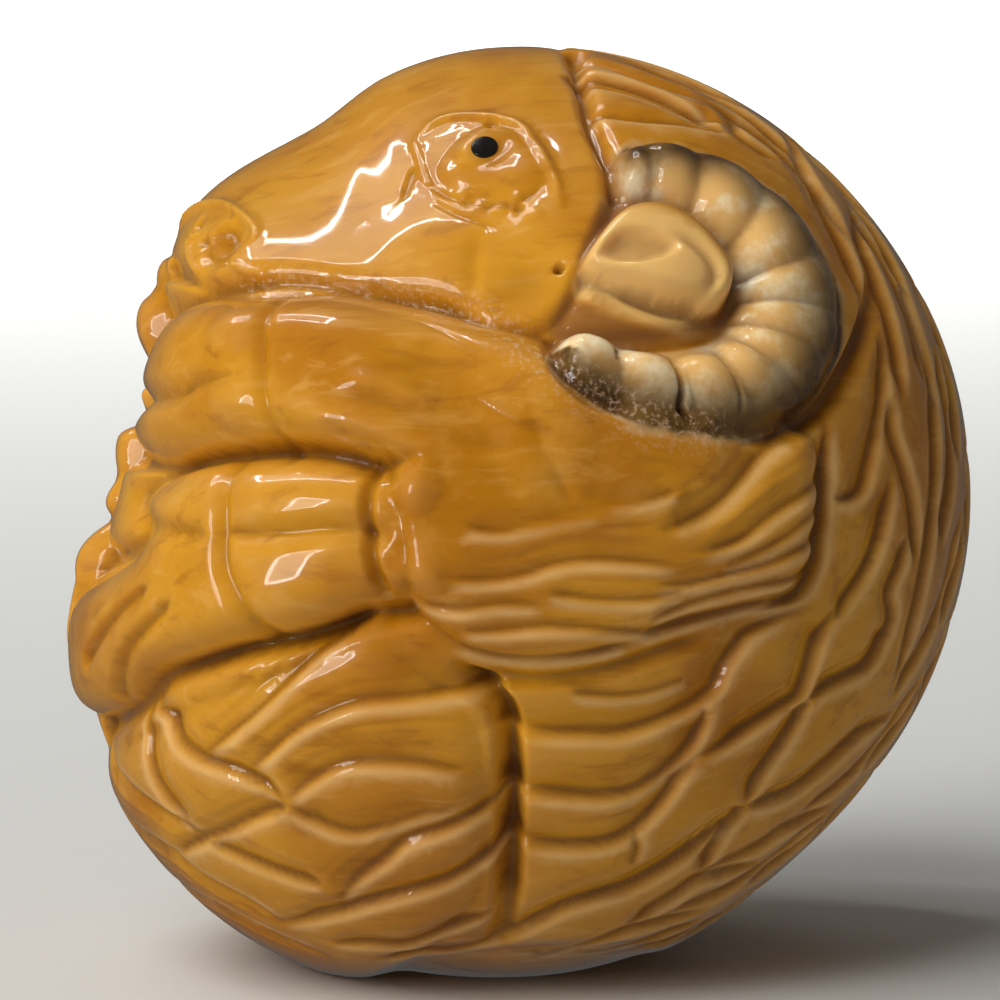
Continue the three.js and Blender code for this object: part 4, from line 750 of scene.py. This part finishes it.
# %% Eye, nostril, horn and hair lines
fine_lines = [
    groove([[-4.9, 16.5], [-4, 17.6], [-2.6, 18], [-0.3, 17.7], [0.6, 16.8], [1.2, 15.8], [1.6, 14.75],
        [1.8, 13.3]], 0.8, -0.2),
    groove([[-4.9, 17], [-4.6, 16.2], [-4.3, 15.2], [-4, 14.8]], 0.6, -0.1),
    groove([[-4.8, 15.7], [-5.1, 14.9], [-5.3, 14.1]], 0.5, 0.2),
    groove([[-4.2, 15], [-3.2, 14.3], [-2, 14], [-0.6, 14], [0.5, 14.5], [1.0, 15.1]], 0.4, 0.14),
    swell([-2.7, 14.4], 0.6, 0.16),
    swell([-1.9, 13.9], 0.5, 0.14),
    swell([-1, 13.8], 0.5, 0.14),
    swell([-0.2, 14.3], 0.45, 0.14),
    swell([0.6, 13.6], 0.5, 0.12),
    groove([[-4, 14.1], [-3, 13.5], [-2, 13.2], [-1, 12.9]], 0.35, 0.14),
    groove([[-1.2, 11.7], [-0.2, 11.8], [0.8, 11.7]], 0.3, 0.08),
    swell([-0.1, 13.9], 0.35, -0.25),
    swell([-1.3, 17.7], 0.4, -0.2),
    swell([1.75, 11.25], 0.32, -0.6),
    groove([[-15.5, 12.6], [-15.1, 13.3], [-14.6, 13.8], [-13.5, 14.05], [-12.6, 13.6], [-11.9, 12.8],
        [-12.4, 12.1]], 0.6, -0.3),
    groove([[-14.4, 12.9], [-14.9, 12.2], [-14.9, 11.4], [-14.5, 10.7]], 0.5, -0.25),
    groove([[-13.2, 11.4], [-12.4, 11.1], [-11.5, 11]], 0.5, -0.18),
    swell([-14.5, 13.1], 0.45, -0.3),
    swell([-14.3, 12.4], 0.4, -0.3),
    swell([-13.4, 11.5], 0.4, -0.25),
    groove([[7.1, 7.6], [7.4, 6], [7.3, 5], [7.9, 4.1]], 0.5, 0.7, level=2.4),
    groove([[4.6, 8.2], [4.5, 7.2]], 0.4, 0.4, level=2.4),
    groove([[9.3, 7.6], [10, 6.2], [10.2, 4.6]], 0.35, 0.25, level=2.6),
    groove([[-6.6, 9.4], [-4, 8.6], [-1.6, 7.2]], 0.3, 0.08, level=2.4),
    groove([[-2.4, 5.4], [-0.6, 4.4], [1.8, 3.4]], 0.3, 0.08, level=2.4),
    groove([[-9, -10], [-7, -9.6], [-4.6, -9.5], [-2.2, -9.8]], 0.3, 0.07, level=2.2),
    groove([[-12.6, -8.1], [-10.6, -7], [-9.4, -6.2]], 0.3, 0.07, level=2.2),
    groove([[1.4, -11.4], [3.4, -11.5], [5.2, -11.3], [6.6, -10.5]], 0.3, 0.08, level=WOOL),
    groove([[2, -13.9], [3.8, -14], [5.2, -13.6]], 0.3, 0.07, level=WOOL),
    groove([[9.6, -12], [10.6, -11], [11.4, -10]], 0.3, 0.07, level=WOOL),
]


STRAND_WIDTH, STRAND_DEPTH, STRAND_GAPS = 0.45, 0.06, (0.7, 1.3)
SEAT_RADIUS, SEAT_EDGE, SEAT_DEPTH = 0.75, 0.7, 1.2


def strand(stroke, away):
    """A hair line beside a cut, on the lock that dives under."""
    route = stroke.route
    left_hand = np.cross(outward(route), np.gradient(route, axis=0))
    left_hand /= np.linalg.norm(left_hand, axis=1)[:, None]
    return groove_along((route - stroke.lies_over * away * left_hand)[3:], STRAND_WIDTH, STRAND_DEPTH)


strands = [strand(stroke, away) for stroke in wool_cuts + shoulder_cuts for away in STRAND_GAPS]
points = read_points(ram)
directions = outward(points)
shown, leg, blank = sides(directions)
off_horn = 1 - smooth(horn(shown) / HORN_CLEAR)
lines = total(fine_lines, shown) + total(strands, shown) * wool_skin(leg)[1] * off_horn
points = points + directions * (lines * off_foot(directions, blank))[:, None]
for side in (1, -1):
    axis = peg_out * (1, side, 1)
    from_rim = points - (peg_middle + peg_out * (PUPIL_LENGTH / 2 - PUPIL_PROUD)) * (1, side, 1)
    above = from_rim @ axis
    beside = np.linalg.norm(from_rim - above[:, None] * axis, axis=1)
    above *= (1 - smooth((beside - SEAT_RADIUS) / SEAT_EDGE)) * (np.abs(above) < SEAT_DEPTH)
    points -= above[:, None] * axis
write_points(ram, points)
print("fine lines:", len(fine_lines), "and strands:", len(strands))

# %% [markdown]
# ## The resting flat
# The ball is turned to how it stands, and a bisect takes its underside down to a small flat. The
# Decimate modifier then thins the mesh where the surface is plain, so that the piece stays light.

# %% Turn, cut the flat and thin out
MOST_FACES = 190000
write_points(ram, standing(read_points(ram)))
if len(ram.data.polygons) > MOST_FACES:
    finish_with(ram, "DECIMATE", ratio=MOST_FACES / len(ram.data.polygons))
floor_level = cad_box[0][2]
bpy.context.view_layer.objects.active = ram
bpy.ops.object.mode_set(mode="EDIT")
bpy.ops.mesh.select_all(action="SELECT")
bpy.ops.mesh.bisect(plane_co=(0, 0, floor_level), plane_no=(0, 0, 1), threshold=1e-7, use_fill=True,
                    clear_inner=True)
bpy.ops.object.mode_set(mode="OBJECT")
print("flat at", round(floor_level / MM, 3), "mm,", len(ram.data.polygons), "faces")

# %% [markdown]
# ## Cord holes
# A netsuke has two holes at its back, joined under the surface, for the cord. One is wider, so
# that the knot sits in it. A bow of tube, cut away by a Boolean modifier, makes both.

# %% Two holes and the bow that joins them
CORD_HOLE, CORD_MOUTH, CORD_SPACING, CORD_DEPTH = 3.2, 4.4, 9.5, 6.2


def far_side_spot(end):
    out = on_blank([[1.5 + end * CORD_SPACING / 2, -6.5 - end * 1.2]])[0] * (1, -1, 1)
    out /= np.linalg.norm(out)
    return out * float(carved_radius(out[None])[0]), out


(narrow, narrow_out), (wide, wide_out) = far_side_spot(-1), far_side_spot(1)
bow_middle = (narrow + wide) / 2
bow_points = [narrow + 2 * narrow_out, narrow - 1.5 * narrow_out,
              bow_middle * (1 - CORD_DEPTH / np.linalg.norm(bow_middle)),
              wide - 1.5 * wide_out, wide + 2 * wide_out]
bow_line = standing(bend(bow_points, 8))
curve = bpy.data.curves.new("cord_bow", "CURVE")
curve.dimensions = "3D"
curve.bevel_depth, curve.bevel_resolution, curve.use_fill_caps = CORD_HOLE / 2 * MM, 8, True
spline = curve.splines.new("POLY")
spline.points.add(len(bow_line) - 1)
for point, where in zip(spline.points, bow_line):
    point.co = (*where, 1)
bow = bpy.data.objects.new("cord_bow", curve)
bpy.context.scene.collection.objects.link(bow)
choose(bow)
bpy.ops.object.convert(target="MESH")
bow = bpy.context.object

mouth_turn = Vector(lean_back @ wide_out).to_track_quat("Z", "Y").to_euler()
bpy.ops.mesh.primitive_cone_add(
    vertices=40, radius1=CORD_HOLE / 2 * MM, radius2=CORD_MOUTH / 2 * MM, depth=5 * MM,
    location=standing(wide - 0.4 * wide_out), rotation=mouth_turn)
mouth = bpy.context.object
for tool in (bow, mouth):
    finish_with(ram, "BOOLEAN", operation="DIFFERENCE", solver="EXACT", object=tool)
    bpy.data.objects.remove(tool)
write_points(ram, np.clip(read_points(ram), *cad_box))
print("after the cord holes:", len(ram.data.polygons), "faces")

# %% [markdown]
# ## What the finish needs to know
# The nut is darker in the cuts, with grime and painted shade, paler on the crests, with wear and
# a painted highlight, and grey on the outer side of the horn. Numbers stored on the mesh tell the
# material where those are. The surface is compared with a smoothed copy of itself: below it is a
# hollow, above it a crest. The dark valley line and the worn edge with its painted highlight, on
# each lock, come from how far a point is from the knife's stroke.

# %% Hollows and crests as attributes
choose(ram)
bpy.ops.object.mode_set(mode="EDIT")
bpy.ops.mesh.select_all(action="SELECT")
bpy.ops.mesh.quads_convert_to_tris()
bpy.ops.mesh.remove_doubles(threshold=0.002 * MM)
bpy.ops.object.mode_set(mode="OBJECT")

points = read_points(ram) / MM @ lean_back - middle_of_ball
reach = np.linalg.norm(points, axis=1)
directions = points / reach[:, None]
edges = np.empty(len(ram.data.edges) * 2, dtype=np.int32)
ram.data.edges.foreach_get("vertices", edges)
edges = edges.reshape(-1, 2)
neighbours = np.maximum(np.bincount(edges.ravel(), minlength=len(points)), 1)


def evened(values, passes):
    """Each value drawn towards its neighbours', again and again."""
    for _ in range(passes):
        near = (np.bincount(edges[:, 0], values[edges[:, 1]], len(values))
                + np.bincount(edges[:, 1], values[edges[:, 0]], len(values))) / neighbours
        values = 0.4 * values + 0.6 * near
    return values


def store(name, values):
    layer = ram.data.attributes.new(name, "FLOAT", "POINT")
    layer.data.foreach_set("value", np.asarray(values, dtype=np.float32))
    print(name, "from", round(float(values.min()), 2), "to", round(float(values.max()), 2))


FINE_PASSES, BROAD_PASSES = 12, 90
shown, leg, blank = sides(directions)
relief = reach - blank
fine, broad = evened(relief, FINE_PASSES), evened(relief, BROAD_PASSES)
# Lower than the smoothed copy: later painted darker, as grime and painted shade in the hollows.
hollow = smooth((fine - relief) / 0.2) * 0.4 + smooth((broad - relief) / 0.8) * 0.55
# Higher than the smoothed copy: later painted paler, as wear and a painted highlight on the crests.
crest = smooth((relief - fine) / 0.1) * 0.45 + smooth((relief - broad) / 0.5) * 0.45
store("hollow", np.clip(hollow, 0, 1))
store("crest", evened(np.clip(crest, 0, 1), 1))

# %% Valleys (grime and painted shade) and worn edges (wear and painted highlight) as attributes
VALLEY_WIDTH = 0.13
WORN_SHEEN_PLACE, WORN_SHEEN_WIDTH = 0.42, 0.2
valley, rubbed_and_sheen = np.zeros(len(shown)), np.zeros(len(shown))
for stroke in wool_cuts + shoulder_cuts:
    k = close_to(stroke.route, shown, 2)
    if len(k):
        distance, along, side = nearest(stroke.route, shown[k])
        inward = distance * side * stroke.lies_over
        fade = smooth(np.minimum(along, 1 - along) / 0.1)
        # A thin dark line along each cut's bottom: grime and painted shade.
        valley[k] = np.maximum(valley[k], np.exp(-(distance / VALLEY_WIDTH) ** 2) * fade)
        # A pale band on the overlying lock beside each cut: wear and a painted highlight.
        rubbed_and_sheen[k] = np.maximum(rubbed_and_sheen[k], np.exp(-((inward - WORN_SHEEN_PLACE) / WORN_SHEEN_WIDTH) ** 2) * fade)
on_wool = wool_skin(leg)[1]
store("valley", valley * on_wool)
store("rubbed_and_sheen", rubbed_and_sheen * on_wool)

# %% Horn, ear, coil and jaw as attributes
across, along, side = horn_place(shown, np.arange(len(shown)))
on_horn = smooth((1.12 - across) / 0.2) * smooth(along / 0.05)
store("horn", on_horn)
outer = 0.5 + 0.8 * side * np.clip(across, 0, 1) + 0.4 * smooth((0.25 - along) / 0.2)
store("weathered", on_horn * smooth(outer))
x, z = appears(shown, 2.4)
ear_depth = inside_by(smooth_outline(EAR), x, z)
store("ear", smooth(0.5 + ear_depth / 0.5))
coil_depth = inside_by(smooth_outline(COIL), *appears(shown, 1.0))
store("coil", smooth(0.6 + coil_depth / 0.6) * (1 - smooth(0.8 + ear_depth / 0.6)) * (1 - on_horn))
jaw = path([[-13, 10.7], [-9, 10.6], [-5, 10], [-2, 9], [0, 7.6], [2, 6], [5, 4.4], [8, 3.8]], 1.5)
jaw_distance = nearest(jaw, shown)[0]
FROST_REACH = 1.8
store("frost", smooth(1 - jaw_distance / FROST_REACH))

# %% [markdown]
# ## Polished nut
# The nut is translucent like amber: light goes in at the crests and comes out warmer. Its colour
# drifts in soft clouds between honey and ochre, with fibres as fine lines, red-brown grime with
# painted shade in the cuts, pale crests that are worn and carry a painted highlight, and a
# grey-brown crust on the horn. A clear coat gives the wet polish.

# %% A helper that mixes a material
class Finish:
    """A material in the making. Each step adds a node and gives back the socket to carry on from."""

    def __init__(self, name):
        self.material = bpy.data.materials.new(name)
        self.material.use_nodes = True
        self.nodes, self.links = self.material.node_tree.nodes, self.material.node_tree.links
        self.shader = self.nodes["Principled BSDF"]

    def plug(self, value, socket):
        if hasattr(value, "links"):
            self.links.new(value, socket)
        else:
            socket.default_value = value

    def feed(self, value, name):
        self.plug(value, self.shader.inputs[name])

    def coordinates(self):
        return self.nodes.new("ShaderNodeTexCoord").outputs["Object"]

    def maths(self, operation, a, b, clamp):
        node = self.nodes.new("ShaderNodeMath")
        node.operation, node.use_clamp = operation, clamp
        self.plug(a, node.inputs[0])
        self.plug(b, node.inputs[1])
        return node.outputs[0]

    def times(self, a, b, clamp=False):
        return self.maths("MULTIPLY", a, b, clamp)

    def plus(self, a, b, clamp=False):
        return self.maths("ADD", a, b, clamp)

    def blend(self, share, a, b):
        node = self.nodes.new("ShaderNodeMix")
        node.data_type, node.clamp_factor = "RGBA", True
        for value, socket in ((share, 0), (a, 6), (b, 7)):
            self.plug(value, node.inputs[socket])
        return node.outputs[2]

    def mark(self, name):
        node = self.nodes.new("ShaderNodeAttribute")
        node.attribute_name = name
        return node.outputs["Fac"]

    def noise(self, place, scale, detail=3.0, roughness=0.5, distortion=0.0):
        node = self.nodes.new("ShaderNodeTexNoise")
        self.links.new(place, node.inputs["Vector"])
        for name, value in (("Scale", scale), ("Detail", detail), ("Roughness", roughness),
                            ("Distortion", distortion)):
            node.inputs[name].default_value = value
        return node.outputs["Fac"]

    def spread(self, value, low, high):
        """A value stretched so that low becomes 0 and high becomes 1."""
        node = self.nodes.new("ShaderNodeMapRange")
        node.interpolation_type = "SMOOTHSTEP"
        self.plug(value, node.inputs["Value"])
        node.inputs["From Min"].default_value = low
        node.inputs["From Max"].default_value = high
        return node.outputs[0]


def srgb(red, green, blue):
    levels = (((c / 255 + 0.055) / 1.055) ** 2.4 if c > 10 else c / 255 / 12.92 for c in (red, green, blue))
    return (*levels, 1.0)


HONEY, GOLD, PALE_CLOUD = srgb(184, 116, 3), srgb(210, 146, 26), srgb(216, 156, 66)
# The crest tint stands for wear and a painted highlight together.
DARK_FIBRE, PALE_FIBRE, CREST_WEAR_AND_SHEEN = srgb(150, 84, 2), srgb(226, 172, 88), srgb(220, 164, 86)
HORN_YELLOW, HORN_CREAM = srgb(236, 186, 112), srgb(255, 236, 196)
CRUST_DARK, CRUST_PALE = srgb(66, 42, 8), srgb(112, 80, 30)
# The worn-edge tint stands for wear and a painted highlight together.
EAR_PALE, WORN_EDGE_AND_SHEEN, FROST = srgb(244, 200, 126), srgb(228, 182, 118), srgb(222, 190, 156)
# The grime and valley tints stand for dirt and painted shade together.
GRIME_AND_SHADE, VALLEY_GRIME_AND_SHADE, COIL_BROWN = srgb(116, 62, 10), srgb(120, 66, 8), srgb(132, 84, 44)
print("honey:", [round(c, 3) for c in HONEY])

# %% The polished nut's colour
FIBRE_TURN, FIBRE_STRETCH = radians(20), (0.18, 1, 1)
nut = Finish("polished_nut")
place = nut.coordinates()
clouds = nut.noise(place, 110, 3, 0.5, 0.4)
mottle = nut.noise(place, 420, 4, 0.6)
grain = nut.noise(place, 4200, 3, 0.6)
hollow_mark, crest_mark, valley_mark, rubbed_and_sheen_mark = map(nut.mark, ("hollow", "crest", "valley", "rubbed_and_sheen"))
horn_mark, crust_mark, ear_mark = map(nut.mark, ("horn", "weathered", "ear"))
coil_mark, frost_mark = map(nut.mark, ("coil", "frost"))
fibres = nut.nodes.new("ShaderNodeMapping")
nut.links.new(place, fibres.inputs["Vector"])
fibres.inputs["Rotation"].default_value = (0, FIBRE_TURN, 0)
fibres.inputs["Scale"].default_value = FIBRE_STRETCH
streaks = nut.noise(fibres.outputs["Vector"], 900, 4, 0.6, 0.6)

horn_cream = nut.blend(nut.spread(mottle, 0.4, 0.65), HORN_YELLOW, HORN_CREAM)
horn_crust = nut.blend(nut.spread(mottle, 0.4, 0.6), CRUST_DARK, CRUST_PALE)
horn_colour = nut.blend(crust_mark, horn_cream, horn_crust)
colour = nut.blend(nut.spread(clouds, 0.35, 0.65), HONEY, GOLD)
for share, tint in (
        (nut.times(nut.spread(mottle, 0.5, 0.75), 0.35), PALE_CLOUD),
        (nut.times(nut.spread(streaks, 0.52, 0.7), 0.45), DARK_FIBRE),
        (nut.times(nut.spread(streaks, 0.46, 0.3), 0.35), PALE_FIBRE),
        # pale crests: wear and a painted highlight
        (nut.times(crest_mark, 0.3), CREST_WEAR_AND_SHEEN),
        (horn_mark, horn_colour),
        (nut.times(ear_mark, 0.75), EAR_PALE),
        # worn lock edges: wear and a painted highlight
        (nut.times(rubbed_and_sheen_mark, nut.plus(0.2, nut.times(mottle, 0.9))), WORN_EDGE_AND_SHEEN),
        # grime and painted shade in the hollows
        (nut.times(hollow_mark, nut.plus(0.3, mottle), True), GRIME_AND_SHADE),
        # grime and painted shade along each cut's bottom
        (nut.times(valley_mark, 0.6), VALLEY_GRIME_AND_SHADE),
        (nut.times(coil_mark, 0.7), COIL_BROWN),
        (nut.times(nut.times(frost_mark, nut.spread(grain, 0.48, 0.72)), 0.55), FROST)):
    colour = nut.blend(share, colour, tint)
nut.feed(colour, "Base Color")
print("colour of the nut:", len(nut.nodes), "nodes")

# %% The nut's polish
rough = nut.plus(0.26, nut.times(mottle, 0.12))
rough = nut.plus(rough, nut.times(hollow_mark, 0.25))
nut.feed(nut.plus(rough, nut.times(crust_mark, 0.2), True), "Roughness")
for name, value in (("Subsurface Weight", 0.25), ("Subsurface Radius", (1.0, 0.45, 0.12)),
                    ("Subsurface Scale", 0.002), ("IOR", 1.54), ("Specular IOR Level", 0.2),
                    ("Coat Weight", 0.9), ("Coat Roughness", 0.06)):
    nut.feed(value, name)

bump = nut.nodes.new("ShaderNodeBump")
bump.inputs["Distance"].default_value = 0.00006
bump.inputs["Strength"].default_value = 0.5
pits = nut.times(grain, nut.plus(0.15, nut.plus(frost_mark, crust_mark)))
nut.links.new(nut.plus(nut.times(mottle, 0.5), pits), bump.inputs["Height"])
nut.feed(bump.outputs["Normal"], "Normal")

ram.data.materials.clear()
ram.data.materials.append(nut.material)
choose(ram)
bpy.ops.object.shade_smooth()
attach(ram, "root")
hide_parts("ram")
print("ram finished:", len(ram.data.polygons), "faces")

# %% [markdown]
# ## The pupils
# Each pupil is a peg of black horn pressed into a drilled hole and polished flush. A cylinder is
# set in the middle of the solid peg, along its axis, and a Bevel modifier rounds its rim, so that
# a small light sits on it.

# %% Two black pegs
jet = Finish("black_inlay")
streaks = jet.noise(jet.coordinates(), 3000, 2)
jet.feed(jet.blend(streaks, (0.004, 0.003, 0.003, 1), (0.012, 0.009, 0.008, 1)), "Base Color")
jet.feed(jet.plus(0.12, jet.times(streaks, 0.12)), "Roughness")
PUPIL_DIAMETER = 1.2
for name, side, middle in (("pupil_left", 1, left), ("pupil_right", -1, right)):
    axis = lean_back @ (peg_out * (1, side, 1))
    bpy.ops.object.select_all(action="DESELECT")
    bpy.ops.mesh.primitive_cylinder_add(
        vertices=48, radius=PUPIL_DIAMETER / 2 * MM, depth=PUPIL_LENGTH * MM,
        location=Vector(lean_back @ middle * MM), rotation=Vector(axis).to_track_quat("Z", "Y").to_euler())
    peg = bpy.context.object
    peg.name = name + "_peg"
    finish_with(peg, "BEVEL", width=0.0001, segments=3, limit_method="ANGLE")
    bpy.ops.object.transform_apply(location=True, rotation=True, scale=True)
    bpy.ops.object.shade_smooth_by_angle(angle=radians(40))
    peg.data.materials.append(jet.material)
    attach(peg, "root")
    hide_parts(name)
    print(peg.name, "at", [round(v, 2) for v in lean_back @ middle])

# %% [markdown]
# ## Floor and studio light
# A pale floor carries the ball. Each of two windows, one above and one to the left, is a bright
# frame round a dimmer pane, so that the polish shows long outlined lights. A large soft box gives
# most of the light. It isn't mirrored in the polish, and nor is the floor, so the colour stays deep.

# %% Floor, lights and surroundings
bpy.ops.object.select_all(action="DESELECT")
bpy.ops.mesh.primitive_plane_add(size=3.0, location=(0, 0, 0))
floor = bpy.context.object
floor.name = "floor"
paper = Finish("pale_paper")
paper.feed((0.72, 0.72, 0.70, 1), "Base Color")
paper.feed(0.7, "Roughness")
floor.data.materials.append(paper.material)
floor.visible_glossy = False


def soft_box(name, place, size, power, tint=(1, 1, 1)):
    data = bpy.data.lights.new(name, "AREA")
    data.shape, data.size, data.size_y = "RECTANGLE", size[0], size[1]
    data.energy, data.color = power, tint
    lamp = bpy.data.objects.new(name, data)
    lamp.location = place
    lamp.rotation_euler = (Vector((0, 0, 0.02)) - Vector(place)).to_track_quat("-Z", "Y").to_euler()
    bpy.context.scene.collection.objects.link(lamp)
    return lamp


def window_frame(name, middle, width, height, bar, radiance):
    """Four bright bars round a dimmer pane, as a window shows in a polished surface."""
    turn = (Vector((0, 0, 0.02)) - Vector(middle)).to_track_quat("-Z", "Y")
    bars = [("_left", -width / 2, 0, bar, height), ("_right", width / 2, 0, bar, height),
            ("_near", 0, -height / 2, width, bar), ("_far", 0, height / 2, width, bar)]
    for side, x, y, size_x, size_y in bars:
        place = Vector(middle) + turn @ Vector((x, y, 0))
        lamp = soft_box(name + side, place, (size_x, size_y), radiance * pi * size_x * size_y)
        lamp.rotation_euler = turn.to_euler()


window_frame("window", (-0.25, 0.14, 0.52), 0.14, 0.27, 0.008, 34)
soft_box("window_pane", (-0.25, 0.14, 0.525), (0.13, 0.26), 0.1)
window_frame("left_window", (-0.46, -0.34, 0.18), 0.10, 0.22, 0.008, 22)
soft_box("left_pane", (-0.465, -0.345, 0.18), (0.10, 0.22), 0.25, (1, 0.96, 0.93))
room = soft_box("room", (-0.46, -0.40, 0.66), (0.7, 0.7), 6.6, (1, 0.99, 0.96))
room.visible_glossy = False
behind = soft_box("behind", (0, 0.75, 0.55), (1.4, 0.9), 9)
behind.rotation_euler = (0, 0, 0)
behind.data.spread = radians(70)
behind.visible_glossy = False
world = bpy.data.worlds.new("studio")
world.use_nodes = True
world.node_tree.nodes["Background"].inputs["Color"].default_value = (0.92, 0.95, 0.96, 1)
world.node_tree.nodes["Background"].inputs["Strength"].default_value = 0.1
bpy.context.scene.world = world
bpy.context.scene.view_settings.view_transform = "Standard"
print("lights:", len(bpy.data.lights))
